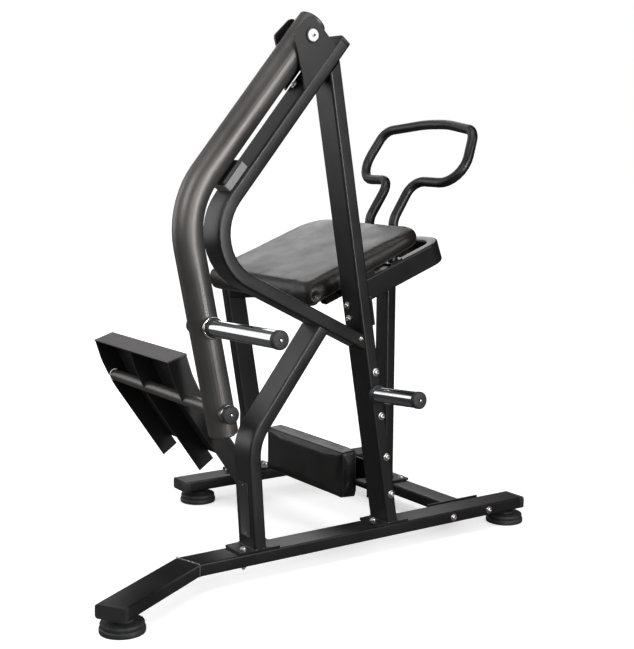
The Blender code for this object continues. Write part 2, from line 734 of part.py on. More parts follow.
def pad_frame():
    low_y = MID_Y - FRAME_HALF_Y
    high_y = MID_Y + FRAME_HALF_Y
    corners = [on_slope(FRAME_X[0], low_y, -ARM_H / 2), on_slope(FRAME_X[1], low_y, -ARM_H / 2),
               on_slope(FRAME_X[1], high_y, -ARM_H / 2), on_slope(FRAME_X[0], high_y, -ARM_H / 2)]
    path = rounded_path(corners, [0.055, 0.055], 6)
    frame = box_tube("pad_frame", path, ARM_T, ARM_H, slope_up)
    bridge = plate("cut_bridge", "frame", rounded_rect(0.090, 2 * FRAME_HALF_Y - ARM_T + 0.006, 0.002),
                   on_slope(POST_X, MID_Y, -ARM_H + 0.001), slope_dir, Y_AXIS, 0.008)
    seat = plate("cut_bar_seat", "frame", rounded_rect(0.056, 2 * FRAME_HALF_Y + 0.030, 0.004),
                 on_slope(BAR_SEAT_X, MID_Y, -0.001), slope_dir, Y_AXIS, 0.008)
    weld(frame, bridge, seat)
    for side in (-1, 1):
        start = on_slope(0.140, MID_Y + side * FRAME_HALF_Y, -0.001)
        outline = rounded_rect(0.120, 0.030, 0.002)
        weld(frame, plate(f"cut_riser_{side}", "frame", outline, start, slope_dir, Y_AXIS, RISER_H + 0.001))
    return frame


def seat_post():
    plate_z = RAIL_TOP + GAP + PLATE
    foot = Vector((POST_X, MID_Y, plate_z - 0.004))
    under = (on_slope(POST_X, MID_Y, -ARM_H - GAP), slope_up)
    path = [foot, foot + Z_AXIS * 0.7]
    post = box_tube("seat_post", path, POST_TX, POST_WY, Y_AXIS, (foot, Z_AXIS), under)
    weld(post, base_plate("cut_post_plate", POST_X + 0.016, MID_Y, 0.086, 0.150))
    return post


def far_leg():
    """Bent leg on the far rail; its head carries the far end of the pad frame's link."""
    foot = Vector((-0.025, FAR_Y, plate_top - 0.004))
    knee = Vector((-0.018, FAR_Y, 0.310))
    head = Vector((-0.099, FAR_Y, 0.800))
    top = (head, Z_AXIS)
    path = rounded_path([foot, knee, head], [0.12], 4)
    tube = box_tube("far_leg", path, 0.076, 0.042, Y_AXIS, (foot, Z_AXIS), top)
    weld(tube, base_plate("cut_far_plate", -0.025, FAR_Y, 0.180, RAIL_W))
    weld(tube, block("cut_far_head", "frame", head, (0.076, 0.040, 0.008), 0.003))
    cut(tube, holes("cut_far_drain", [(head - Z_AXIS * 0.02, Z_AXIS, 0.04)], 0.008))
    return tube


def links():
    """Two short tubes tie the pad frame to the near upright and to the far leg."""
    height = 0.785
    flange_at = Vector((upright_x(height), 0, height)) - upright_normal * (TUBE_T / 2 + GAP)
    side = Vector((-upright_normal.z, 0, upright_normal.x))
    near = MID_Y - FRAME_HALF_Y - ARM_T / 2 - GAP
    start = flange_at + Y_AXIS * 0.004 - upright_normal * 0.004
    stop = Vector((0.118, near, on_slope(0.118, near, -ARM_H / 2).z))
    across = (stop - start).cross(Z_AXIS).cross(stop - start).normalized()
    tube = box_tube("near_link", [start, stop], 0.040, 0.050, across, (start, upright_normal),
                    (stop, Y_AXIS), 0.005)
    flange = plate("cut_link_flange", "frame", rounded_rect(0.092, 0.090, 0.004),
                   flange_at, side, Y_AXIS, 0.008)
    weld(tube, flange)
    far = MID_Y + FRAME_HALF_Y + ARM_T / 2 + GAP
    head_y = FAR_Y - 0.021 - GAP
    first = Vector((-0.092, head_y, 0.770))
    last = Vector((0.118, far, on_slope(0.118, far, -ARM_H / 2).z))
    across = (last - first).cross(Z_AXIS).cross(last - first).normalized()
    box_tube("far_link", [first, last], 0.040, 0.050, across, (first, Y_AXIS), (last, Y_AXIS), 0.005)
    return tube


pad_frame()
seat_post()
far_leg()
near_link = links()

# ---------------------------------------------------------------- torso pad
def pad_outline(inset):
    """Plan of the pad about its centre, measured along the slope and across; the back end is rounder."""
    length = (PAD_X[1] - PAD_X[0]) / math.cos(SLOPE)
    half_x = length / 2 - inset
    half_y = PAD_W / 2 - inset
    points = []
    corners = ((1, 1, 0, 0.100), (-1, 1, 90, 0.030), (-1, -1, 180, 0.030), (1, -1, 270, 0.100))
    for sx, sy, start, radius in corners:
        radius = max(radius - inset, 0.006)
        for step in range(6):
            angle = math.radians(start + 90 * step / 5)
            x = sx * (half_x - radius) + radius * math.cos(angle)
            y = sy * (half_y - radius) + radius * math.sin(angle)
            points.append((x, y))
    return points


def pad_solid():
    """Simple closed cushion: bevelled lower edge, straight side, crowned top, hanging front roll."""
    centre = on_slope((PAD_X[0] + PAD_X[1]) / 2, MID_Y, RISER_H + BOARD_T + GAP * 2)
    half = (PAD_X[1] - PAD_X[0]) / math.cos(SLOPE) / 2
    layers = ((BOARD_INSET - 0.004, 0.000), (0.012, 0.000), (0.002, 0.010), (0.000, 0.030),
              (0.008, PAD_EDGE), (0.040, PAD_EDGE + 0.6 * PAD_CROWN),
              (0.100, PAD_EDGE + PAD_CROWN))
    bm = bmesh.new()
    rings = []
    for inset, height in layers:
        loop = []
        for x, y in pad_outline(inset):
            droop = 0.028 * max(0.0, (-x - half + 0.085) / 0.085) ** 2 if height < 0.02 else 0.0
            curl = 0.014 * max(0.0, (-x - half + 0.085) / 0.085) ** 2 if height >= 0.02 else 0.0
            loop.append(centre + slope_dir * x + Y_AXIS * y + slope_up * (height - droop - curl))
        rings.append(loop)
    shell = skin(bm, rings)
    bm.faces.new(shell[0][::-1])
    bm.faces.new(shell[-1])
    return finish(bm, "torso_pad", "vinyl", 60.0)


def pad_board():
    centre = on_slope((PAD_X[0] + PAD_X[1]) / 2, MID_Y, RISER_H + GAP)
    half_x = (PAD_X[1] - PAD_X[0]) / math.cos(SLOPE) / 2 - BOARD_INSET
    half_y = PAD_W / 2 - BOARD_INSET
    outline = rounded_rect(2 * half_x, 2 * half_y, 0.030)
    return plate("torso_pad_board", "board", outline, centre, slope_dir, Y_AXIS, BOARD_T)


pad_solid()
pad_board()

# ---------------------------------------------------------------- handlebar
def handlebar():
    """Closed loop bar: two legs, outward bends, rising grips and a bowed top."""
    half = [
        (0.069, 0.290, 0.880), (0.069, 0.290, 1.040), (0.066, 0.378, 1.174), (0.302, 0.402, 1.170),
        (0.250, 0.496, 1.350), (0.060, 0.534, 1.374), (0.0, 0.534, 1.374),
    ]
    radii = [0.070, 0.056, 0.088, 0.062, 0.340]
    near = [Vector((x, MID_Y - y, z)) for y, x, z in half]
    side = rounded_path(near, radii, 8)
    mirrored = [Vector((p.x, 2 * MID_Y - p.y, p.z)) for p in side[:-1]]
    path = side + mirrored[::-1]
    seat = (on_slope(BAR_SEAT_X, MID_Y, 0.007 + GAP), slope_up)
    sweep("handlebar", "frame", path, circle(BAR_R, 14), None, None, seat, seat)


handlebar()

# ---------------------------------------------------------------- shin pad
def shin_pad():
    middle = ((SHIN_X[0] + SHIN_X[1]) / 2, (SHIN_Y[0] + SHIN_Y[1]) / 2, (SHIN_Z[0] + SHIN_Z[1]) / 2)
    outline = rounded_rect(SHIN_X[1] - SHIN_X[0], SHIN_Z[1] - SHIN_Z[0], 0.008, 3)
    start = (middle[0], SHIN_Y[1], middle[2])
    plate("shin_pad", "vinyl", outline, start, X_AXIS, Z_AXIS, SHIN_Y[1] - SHIN_Y[0])
    board_x = SHIN_X[1] + GAP + 0.006
    block("shin_pad_board", "board", (board_x, middle[1], middle[2]), (0.012, 0.440, 0.135), 0.002)


def shin_bracket():
    """Plate behind the shin pad, with a lug bolted to the far side of the upright."""
    back_x = SHIN_X[1] + 2 * GAP + 0.012
    outline = rounded_rect(0.330, 0.100, 0.030, 4)
    arm = plate("shin_pad_bracket", "frame", outline, (back_x, 0.262, 0.205), Y_AXIS, Z_AXIS, 0.006)
    lug_y = TUBE_W / 2 + GAP + 0.003
    lug = block("cut_lug", "frame", (0.000, lug_y, 0.205), (0.072, 0.006, 0.090), 0.001)
    tie = block("cut_tie", "frame", (-0.004, 0.0765, 0.205), (0.080, 0.053, 0.010), 0.001)
    weld(arm, lug, tie)
    return arm


shin_pad()

# ---------------------------------------------------------------- bolts and nuts
link_spots = []
for name, height in (("upper", 0.806), ("lower", 0.764)):
    seat = Vector((upright_x(height), 0.020, height)) + upright_normal * (TUBE_T / 2)
    link_spots.append((f"link_bolt_{name}", seat, upright_normal, TUBE_T + 0.012))
cut(near_rail, bolt_holes("cut_near_rail", flange_spots + base_spots))
cut(cross, bolt_holes("cut_cross", flange_spots))
cut(upright, bolt_holes("cut_upright", link_spots + base_spots))
cut(near_link, bolt_holes("cut_link", link_spots))
for spot in flange_spots + base_spots + link_spots:
    bolt(*spot)


# ---------------------------------------------------------------- levelling feet
def foot_profile():
    """Rubber foot with its threaded stem, from the floor up."""
    return [(0, 0), (FOOT_R - 0.003, 0), (FOOT_R, 0.003), (FOOT_R, 0.013), (FOOT_R - 0.004, 0.017),
            (FOOT_R - 0.014, 0.019), (FOOT_R - 0.016, 0.025), (0.013, 0.025), (0.013, 0.029),
            (STEM_R, 0.031), (STEM_R, 0.078), (0, 0.078)]


def levelling_feet():
    for rail, names in ((near_rail, ("front_near", "rear_near")), (far_rail, ("front_far", "rear_far"))):
        spots = [((*FEET[name], RAIL_BOTTOM - 0.004), (0, 0, 1), 0.012) for name in names]
        cut(rail, holes(f"cut_{rail.name}_feet", spots, STEM_R + GAP, 16))
    for name, (x, y) in FEET.items():
        axis = axis_empty(f"foot_axis_{name}", (x, y, 0))
        carry(axis, turned(f"levelling_foot_{name}", "rubber", (x, y, 0), Z_AXIS, foot_profile(), 28))


levelling_feet()
shin_bracket()
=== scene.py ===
"""Looks for the standing rear-kick machine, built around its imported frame.

Metres, in the frame's own axes: +X from the kick plate to the handlebar, -Y the lever's side, +Z up.
"""
import json
import math

import bmesh
import bpy
from mathutils import Matrix, Vector, noise

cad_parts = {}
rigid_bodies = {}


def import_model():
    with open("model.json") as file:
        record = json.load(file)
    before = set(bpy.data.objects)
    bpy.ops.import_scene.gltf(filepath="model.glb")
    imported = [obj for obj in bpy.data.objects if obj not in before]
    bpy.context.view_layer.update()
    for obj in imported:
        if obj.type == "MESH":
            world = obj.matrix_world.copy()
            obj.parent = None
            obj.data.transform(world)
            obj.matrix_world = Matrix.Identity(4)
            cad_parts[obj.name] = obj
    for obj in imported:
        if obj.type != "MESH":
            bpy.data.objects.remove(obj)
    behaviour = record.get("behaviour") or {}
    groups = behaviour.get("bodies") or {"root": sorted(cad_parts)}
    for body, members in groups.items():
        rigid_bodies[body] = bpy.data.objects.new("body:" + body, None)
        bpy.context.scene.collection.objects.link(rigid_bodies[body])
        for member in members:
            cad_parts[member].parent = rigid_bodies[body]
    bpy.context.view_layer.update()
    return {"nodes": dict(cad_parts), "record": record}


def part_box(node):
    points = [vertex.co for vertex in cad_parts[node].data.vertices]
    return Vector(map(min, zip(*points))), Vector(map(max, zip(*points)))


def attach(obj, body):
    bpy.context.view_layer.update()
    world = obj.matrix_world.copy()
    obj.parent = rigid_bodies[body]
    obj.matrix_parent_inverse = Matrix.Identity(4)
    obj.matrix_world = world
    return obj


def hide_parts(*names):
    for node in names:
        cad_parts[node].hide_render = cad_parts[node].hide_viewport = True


for old in list(bpy.data.objects):
    bpy.data.objects.remove(old, do_unlink=True)

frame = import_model()
NODES = frame["nodes"]

X_AXIS = Vector((1, 0, 0))
Y_AXIS = Vector((0, 1, 0))
Z_AXIS = Vector((0, 0, 1))
SLOPE = math.radians(20.5)
SLOPE_DIR = Vector((math.cos(SLOPE), 0, math.sin(SLOPE)))
SLOPE_UP = Vector((-math.sin(SLOPE), 0, math.cos(SLOPE)))

noise.seed_set(11)           # unseeded, noise_vector follows the clock and the welds differ each run


def low(node):
    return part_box(node)[0]


def high(node):
    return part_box(node)[1]


def middle(node):
    first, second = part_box(node)
    return (first + second) / 2


# ---------------------------------------------------------------- node helpers
class Shader:
    """A Principled material with short calls for adding procedural nodes."""

    def __init__(self, name):
        self.material = bpy.data.materials.new(name)
        self.material.use_nodes = True
        self.tree = self.material.node_tree
        self.principled = self.tree.nodes["Principled BSDF"]
        self.place = self.add("ShaderNodeNewGeometry").outputs["Position"]

    def add(self, kind, **settings):
        node = self.tree.nodes.new(kind)
        for key, value in settings.items():
            setattr(node, key, value)
        return node

    def feed(self, socket, value):
        if hasattr(value, "is_output"):
            self.tree.links.new(value, socket)
        else:
            socket.default_value = value

    def put(self, **values):
        for key, value in values.items():
            self.feed(self.principled.inputs[key.replace("_", " ")], value)

    def noise(self, scale, detail=3.0, roughness=0.55, stretch=None):
        node = self.add("ShaderNodeTexNoise")
        self.feed(node.inputs["Vector"], self.stretched(stretch) if stretch else self.place)
        self.feed(node.inputs["Scale"], scale)
        self.feed(node.inputs["Detail"], detail)
        self.feed(node.inputs["Roughness"], roughness)
        return node.outputs["Fac"]

    def cells(self, scale, feature="F1", output="Distance", stretch=None):
        node = self.add("ShaderNodeTexVoronoi", feature=feature)
        self.feed(node.inputs["Vector"], self.stretched(stretch) if stretch else self.place)
        self.feed(node.inputs["Scale"], scale)
        return node.outputs[output]

    def stretched(self, factors):
        node = self.add("ShaderNodeMapping")
        self.feed(node.inputs["Vector"], self.place)
        self.feed(node.inputs["Scale"], factors)
        return node.outputs["Vector"]

    def math(self, operation, first, second=0.0):
        node = self.add("ShaderNodeMath", operation=operation)
        self.feed(node.inputs[0], first)
        self.feed(node.inputs[1], second)
        return node.outputs[0]

    def remap(self, value, low_in, high_in, low_out, high_out):
        node = self.add("ShaderNodeMapRange")
        for key, number in (("Value", value), ("From Min", low_in), ("From Max", high_in),
                            ("To Min", low_out), ("To Max", high_out)):
            self.feed(node.inputs[key], number)
        return node.outputs["Result"]

    def mix(self, factor, first, second):
        node = self.add("ShaderNodeMix", data_type="RGBA")
        self.feed(node.inputs["Factor"], factor)
        self.feed(node.inputs["A"], first if hasattr(first, "is_output") else (*first, 1.0))
        self.feed(node.inputs["B"], second if hasattr(second, "is_output") else (*second, 1.0))
        return node.outputs["Result"]

    def bump(self, height, distance, strength=1.0, under=None):
        node = self.add("ShaderNodeBump")
        self.feed(node.inputs["Height"], height)
        self.feed(node.inputs["Distance"], distance)
        self.feed(node.inputs["Strength"], strength)
        if under is not None:
            self.feed(node.inputs["Normal"], under)
        return node.outputs["Normal"]

    def facing(self, direction):
        """How far the surface's true normal points along a direction, from -1 to 1."""
        node = self.add("ShaderNodeVectorMath", operation="DOT_PRODUCT")
        normal = self.add("ShaderNodeNewGeometry").outputs["True Normal"]
        self.feed(node.inputs[0], normal)
        self.feed(node.inputs[1], direction)
        return node.outputs["Value"]

    def edge_light(self, radius):
        """Near 1 on convex edges, 0 on flat faces; it paints edges paler, partly as wear where a coat wears
        thin and partly as a painted highlight.
        """
        soft = self.add("ShaderNodeBevel", samples=4)
        self.feed(soft.inputs["Radius"], radius)
        dot = self.add("ShaderNodeVectorMath", operation="DOT_PRODUCT")
        self.feed(dot.inputs[0], soft.outputs["Normal"])
        self.feed(dot.inputs[1], self.add("ShaderNodeNewGeometry").outputs["Normal"])
        return self.remap(dot.outputs["Value"], 0.97, 0.80, 0.0, 1.0)


# ---------------------------------------------------------------- materials
def powder_coat(name, dark, pale, rough):
    """Satin powder coat: orange peel, faint dust, and paler edges that are partly wear and partly a painted
    highlight.
    """
    s = Shader(name)
    cloud = s.noise(5.0, 4.0)
    fleck = s.noise(1500.0, 1.0)
    colour = s.mix(s.remap(cloud, 0.35, 0.65, 0.0, 1.0), dark, pale)
    # paler edges: partly edge wear, partly a painted highlight along every convex edge
    worn_and_highlit = s.math("MULTIPLY", s.edge_light(0.0016), s.remap(s.noise(90.0, 3.0), 0.4, 0.7, 0.15, 0.6))
    colour = s.mix(worn_and_highlit, colour, tuple(5.0 * c for c in pale))
    peel = s.bump(s.noise(420.0, 2.0), 0.0003, 0.30)
    s.put(Base_Color=colour, Roughness=s.remap(cloud, 0.3, 0.7, rough - 0.04, rough + 0.06),
          Metallic=0.0, Specular_IOR_Level=0.5, Normal=s.bump(fleck, 0.0001, 0.25, peel))
    return s.material


def metallic_paint(name):
    """Gunmetal paint with fine metal flake under a satin coat."""
    s = Shader(name)
    flake = s.cells(2600.0, output="Color")
    cloud = s.noise(7.0, 4.0)
    base = s.mix(s.remap(cloud, 0.35, 0.65, 0.0, 1.0), (0.100, 0.093, 0.089), (0.128, 0.120, 0.114))
    spark = s.mix(s.remap(s.cells(1800.0), 0.0, 0.5, 0.35, 0.0), base, (0.34, 0.33, 0.32))
    grey = s.add("ShaderNodeRGBToBW")
    s.feed(grey.inputs[0], flake)
    s.put(Base_Color=spark, Metallic=0.75, Roughness=s.remap(cloud, 0.3, 0.7, 0.37, 0.45),
          Coat_Weight=0.08, Coat_Roughness=0.35, Normal=s.bump(grey.outputs[0], 0.0001, 0.25))
    return s.material


def chrome(name):
    """Polished plate with faint handling smudges and fine turning marks."""
    s = Shader(name)
    smudge = s.noise(35.0, 5.0, 0.65)
    lines = s.noise(260.0, 2.0, 0.5, (1.0, 9.0, 1.0))
    s.put(Base_Color=s.mix(s.remap(smudge, 0.4, 0.7, 0.0, 1.0), (0.50, 0.51, 0.53), (0.42, 0.43, 0.45)),
          Metallic=1.0, Roughness=s.remap(smudge, 0.35, 0.75, 0.06, 0.16), Normal=s.bump(lines, 0.0001, 0.05))
    return s.material


def zinc(name):
    """Bright zinc plating with a slight warm cast and a fine grain."""
    s = Shader(name)
    grain = s.noise(700.0, 3.0)
    stain = s.noise(120.0, 3.0)
    s.put(Base_Color=s.mix(s.remap(stain, 0.35, 0.7, 0.0, 1.0), (0.72, 0.70, 0.67), (0.55, 0.52, 0.47)),
          Metallic=1.0, Roughness=s.remap(grain, 0.3, 0.7, 0.24, 0.38), Normal=s.bump(grain, 0.0001, 0.2))
    return s.material


def rubber(name):
    """Matt moulded rubber, slightly dusty."""
    s = Shader(name)
    dust = s.noise(60.0, 5.0, 0.6)
    grain = s.noise(1100.0, 2.0)
    s.put(Base_Color=s.mix(s.remap(dust, 0.45, 0.75, 0.0, 1.0), (0.016, 0.016, 0.017), (0.040, 0.039, 0.038)),
          Roughness=s.remap(grain, 0.3, 0.7, 0.52, 0.70), Normal=s.bump(grain, 0.0002, 0.35))
    return s.material


def plastic(name):
    """Spark-textured moulded plastic."""
    s = Shader(name)
    grain = s.cells(1300.0)
    tone = s.noise(25.0, 3.0)
    s.put(Base_Color=s.mix(tone, (0.016, 0.016, 0.018), (0.030, 0.030, 0.032)),
          Roughness=s.remap(tone, 0.3, 0.7, 0.40, 0.52), Normal=s.bump(grain, 0.0002, 0.35))
    return s.material


def vinyl(name, dark, pale, rough):
    """Upholstery vinyl: pebble grain over soft creases, with a wide sheen."""
    s = Shader(name)
    tone = s.noise(9.0, 5.0, 0.6)
    pebble = s.cells(950.0, "SMOOTH_F1")
    pores = s.noise(2200.0, 2.0)
    creases = s.bump(s.noise(26.0, 4.0, 0.6, (1.0, 0.45, 1.0)), 0.0016, 0.22)
    grain = s.bump(pebble, 0.0003, 0.30, creases)
    s.put(Base_Color=s.mix(s.remap(tone, 0.35, 0.65, 0.0, 1.0), dark, pale),
          Roughness=s.remap(tone, 0.3, 0.7, rough - 0.05, rough + 0.06), Specular_IOR_Level=0.42,
          Normal=s.bump(pores, 0.0001, 0.25, grain))
    return s.material


def painted_board(name):
    """Black-painted plywood with its grain showing through."""
    s = Shader(name)
    grain = s.noise(60.0, 6.0, 0.6, (1.0, 8.0, 1.0))
    s.put(Base_Color=s.mix(grain, (0.010, 0.010, 0.010), (0.028, 0.026, 0.024)),
          Roughness=s.remap(grain, 0.3, 0.7, 0.60, 0.78), Normal=s.bump(grain, 0.0004, 0.35))
    return s.material


def non_slip(name):
    """Kick plate: grey gritty coat with a woven pattern on the lip and front, and painted shade that colours
    its faces towards -X near black.
    """
    s = Shader(name)
    grit = s.noise(900.0, 3.0, 0.7)
    across = s.add("ShaderNodeTexWave", wave_type="BANDS", bands_direction="Y")
    along = s.add("ShaderNodeTexWave", wave_type="BANDS", bands_direction="X")
    for wave in (across, along):
        s.feed(wave.inputs["Vector"], s.place)
        s.feed(wave.inputs["Scale"], 44.0)
        s.feed(wave.inputs["Distortion"], 0.6)
    weave = s.math("MULTIPLY", across.outputs["Fac"], along.outputs["Fac"])
    height = s.math("ADD", weave, s.math("MULTIPLY", grit, 0.6))
    grey = s.mix(s.remap(height, 0.2, 1.2, 0.0, 1.0), (0.060, 0.056, 0.058), (0.230, 0.217, 0.222))
    # painted shade: faces turned towards -X, which lie in shadow, get a near-black colour instead of the grey
    # grip
    back = s.remap(s.facing((-1.0, 0.0, 0.0)), 0.60, 0.70, 0.0, 1.0)
    s.put(Base_Color=s.mix(back, grey, (0.018, 0.017, 0.018)), Roughness=s.remap(grit, 0.3, 0.7, 0.50, 0.70),
          Normal=s.bump(height, 0.0012, 0.8))
    return s.material


def stop_plastic(name):
    """Pale grey cast block, a little mottled."""
    s = Shader(name)
    tone = s.noise(80.0, 4.0)
    s.put(Base_Color=s.mix(tone, (0.17, 0.17, 0.175), (0.27, 0.27, 0.275)), Roughness=0.5,
          Normal=s.bump(s.noise(900.0, 2.0), 0.0002, 0.3))
    return s.material


def white_enamel(name):
    s = Shader(name)
    tone = s.noise(50.0, 4.0)
    s.put(Base_Color=s.mix(tone, (0.80, 0.80, 0.79), (0.90, 0.90, 0.89)),
          Roughness=s.remap(tone, 0.3, 0.7, 0.26, 0.38), Normal=s.bump(s.noise(700.0, 2.0), 0.0001, 0.2))
    return s.material


def brushed_plate(name):
    """Thin name plate left blank: anodised, brushed along its length."""
    s = Shader(name)
    lines = s.noise(900.0, 2.0, 0.5, (1.0, 1.0, 0.05))
    s.put(Base_Color=s.mix(lines, (0.060, 0.060, 0.063), (0.115, 0.115, 0.120)), Metallic=0.6,
          Roughness=s.remap(lines, 0.3, 0.7, 0.30, 0.44), Normal=s.bump(lines, 0.0001, 0.3))
    return s.material


def thread(name):
    """Twisted stitching thread."""
    s = Shader(name)
    twist = s.noise(2600.0, 1.0)
    s.put(Base_Color=s.mix(twist, (0.012, 0.012, 0.012), (0.045, 0.043, 0.041)), Roughness=0.75,
          Normal=s.bump(twist, 0.0002, 0.5))
    return s.material


M = {
    "frame": powder_coat("powder_coat_black", (0.0060, 0.0058, 0.0064), (0.0105, 0.0100, 0.0112), 0.34),
    "lever": metallic_paint("gunmetal_paint"),
    "chrome": chrome("chrome_plate"),
    "zinc": zinc("zinc_plate"),
    "rubber": rubber("black_rubber"),
    "plastic": plastic("black_plastic"),
    "pad": vinyl("torso_vinyl", (0.0080, 0.0058, 0.0052), (0.0130, 0.0098, 0.0090), 0.39),
    "shin": vinyl("shin_vinyl", (0.0090, 0.0080, 0.0078), (0.0150, 0.0136, 0.0130), 0.38),
    "board": painted_board("painted_board"),
    "grip": non_slip("non_slip_coat"),
    "stop": stop_plastic("stop_plastic"),
    "washer": white_enamel("white_enamel"),
    "plate": brushed_plate("name_plate"),
    "thread": thread("stitch_thread"),
}
SLOT_LOOK = {
    "black_powder_coat": "frame", "gunmetal_paint": "lever", "chrome": "chrome", "zinc_steel": "zinc",
    "black_rubber": "rubber", "black_plastic": "plastic", "black_vinyl": "pad", "pad_board": "board",
    "pale_washer": "washer", "grey_grip": "grip",
}


# ---------------------------------------------------------------- CAD nodes: finish and soft edges
OUTWARD = {
    "near_rail_front_cap": -1, "near_rail_rear_cap": 1, "far_rail_front_cap": -1, "far_rail_rear_cap": 1,
}
CAP_ROUND = 0.0035
EDGE_ROUND = 0.0009


def round_cap(node, outward):
    """Round the rim of a rail's cap at its outer end, towards +X or -X."""
    spread = [outward * vert.co.x for vert in node.data.vertices]
    group = node.vertex_groups.new(name="outer")
    limit = max(spread) - 0.6 * (max(spread) - min(spread))
    group.add([k for k, value in enumerate(spread) if value > limit], 1.0, "REPLACE")
    rim = node.modifiers.new("rim", "BEVEL")
    rim.width = CAP_ROUND
    rim.segments = 4
    rim.limit_method = "VGROUP"
    rim.vertex_group = "outer"


def dress_cad():
    """Weld the imported triangles, round every sharp edge a little and give each node its material."""
    slots = {part["node"]: part["material_slot"] for part in frame["record"]["subparts"]}
    for name, node in NODES.items():
        node.data.materials.clear()
        look = "stop" if name == "lever_stop_block" else SLOT_LOOK[slots[name]]
        node.data.materials.append(M[look])
        node.data.shade_smooth()
        join = node.modifiers.new("join", "WELD")
        join.merge_threshold = 0.00002
        if name in OUTWARD:
            round_cap(node, OUTWARD[name])
        edge = node.modifiers.new("edge", "BEVEL")
        edge.width = EDGE_ROUND
        edge.segments = 2
        edge.limit_method = "ANGLE"
        edge.angle_limit = math.radians(50)
        edge.use_clamp_overlap = True
        flat = node.modifiers.new("flat", "WEIGHTED_NORMAL")
        flat.keep_sharp = False
        flat.weight = 60


dress_cad()


# ---------------------------------------------------------------- mesh helpers
def build(name, bm, look, body, smooth=True):
    bmesh.ops.recalc_face_normals(bm, faces=bm.faces)
    mesh = bpy.data.meshes.new(name)
    bm.to_mesh(mesh)
    bm.free()
    if smooth:
        mesh.shade_smooth()
        mesh.set_sharp_from_angle(angle=math.radians(40))
    obj = bpy.data.objects.new(name, mesh)
    bpy.context.scene.collection.objects.link(obj)
    mesh.materials.append(M[look])
    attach(obj, body)
    return obj


def circle(centre, side, other, radius, segments):
    angles = [2 * math.pi * k / segments for k in range(segments)]
    return [centre + radius * (side * math.cos(angle) + other * math.sin(angle)) for angle in angles]


def turn(bm, origin, axis, profile, segments=40):
    """Turn (radius, height) points about an axis; radius 0 closes an end."""
    axis = axis.normalized()
    side = axis.orthogonal().normalized()
    other = axis.cross(side)
    loops = []
    for radius, height in profile:
        centre = origin + axis * height
        if radius == 0:
            loops.append([bm.verts.new(centre)])
            continue
        loops.append([bm.verts.new(point) for point in circle(centre, side, other, radius, segments)])
    for first, second in zip(loops, loops[1:]):
        for k in range(segments):
            n = (k + 1) % segments
            corners = [loop[j % len(loop)] for loop, j in ((first, k), (first, n), (second, n), (second, k))]
            bm.faces.new(list(dict.fromkeys(corners)))


def turned(name, origin, axis, profile, look, body, segments=40):
    bm = bmesh.new()
    turn(bm, Vector(origin), Vector(axis), profile, segments)
    return build(name, bm, look, body)


def tube_along(bm, points, radius, closed=False, segments=8):
    """A round bead along a line of points."""
    count = len(points)
    loops = []
    side = None
    for k in range(count):
        if closed:
            tangent = (points[(k + 1) % count] - points[k - 1]).normalized()
        else:
            tangent = (points[min(k + 1, count - 1)] - points[max(k - 1, 0)]).normalized()
        side = tangent.orthogonal() if side is None else side - tangent * side.dot(tangent)
        side = side.normalized()
        other = tangent.cross(side)
        loops.append([bm.verts.new(point) for point in circle(points[k], side, other, radius, segments)])
    pairs = list(zip(loops, loops[1:]))
    if closed:
        pairs.append((loops[-1], loops[0]))
    for first, second in pairs:
        for j in range(segments):
            n = (j + 1) % segments
            bm.faces.new((first[j], first[n], second[n], second[j]))
    if not closed:
        bm.faces.new(loops[0][::-1])
        bm.faces.new(loops[-1])


# ---------------------------------------------------------------- hardware
def cap_bolt(name, seat, outward, body, head=0.0095, washer=0.0125):
    """Domed socket-head bolt on its washer."""
    profile = [
        (0, 0), (washer - 0.0004, 0), (washer, 0.0004), (washer, 0.0014), (washer - 0.0005, 0.0018),
        (head, 0.0018), (head, 0.0040), (head - 0.0007, 0.0056), (head * 0.78, 0.0070), (head * 0.52, 0.0076),
        (head * 0.46, 0.0072), (head * 0.44, 0.0040), (0, 0.0040),
    ]
    return turned(name, Vector(seat), outward, profile, "zinc", body, 36)


def lock_nut(name, seat, outward, body, across=0.0092, height=0.008):
    """Hexagon nut with a chamfered nylon collar and a short thread end."""
    bm = bmesh.new()
    turn(bm, Vector(seat), outward, [(0, 0), (0.0125, 0), (0.0125, 0.0016), (0, 0.0016)], 32)
    turn(bm, Vector(seat) + outward * 0.0016, outward,
         [(0, 0), (across, 0), (across * 1.03, 0.0008), (across * 1.03, height - 0.0012),
          (across * 0.86, height), (0.0062, height), (0.0058, height + 0.0022), (0.0048, height + 0.0024),
          (0.0048, height + 0.004), (0.0040, height + 0.0047), (0, height + 0.0047)], 6)
    obj = build(name, bm, "zinc", body, smooth=False)
    edge = obj.modifiers.new("edge", "BEVEL")
    edge.width = 0.0004
    edge.segments = 2
    return obj


def bead(name, points, body, radius=0.0024, closed=True, look="frame"):
    """Painted weld bead: a rippled round fillet."""
    bm = bmesh.new()
    dense = []
    count = len(points)
    spans = count if closed else count - 1
    for k in range(spans):
        first, second = points[k], points[(k + 1) % count]
        steps = max(2, int((second - first).length / 0.0022))
        dense += [first.lerp(second, step / steps) for step in range(steps)]
    if not closed:
        dense.append(points[-1])
    tube_along(bm, dense, radius, closed)
    for vert in bm.verts:
        vert.co += 0.0005 * noise.noise_vector(vert.co * 420.0)
    return build(name, bm, look, body)


def rectangle(centre, x_dir, y_dir, width, depth, radius=0.006):
    """Points round a rounded rectangle."""
    points = []
    for quarter, (sx, sy) in enumerate(((1, 1), (-1, 1), (-1, -1), (1, -1))):
        for step in range(4):
            angle = math.radians(90 * quarter + 30 * step)
            x = sx * (width / 2 - radius) + radius * math.cos(angle)
            y = sy * (depth / 2 - radius) + radius * math.sin(angle)
            points.append(Vector(centre) + x_dir * x + y_dir * y)
    return points


# ---------------------------------------------------------------- cushions
SCENE = bpy.context.scene
SIM_FRAMES = 20


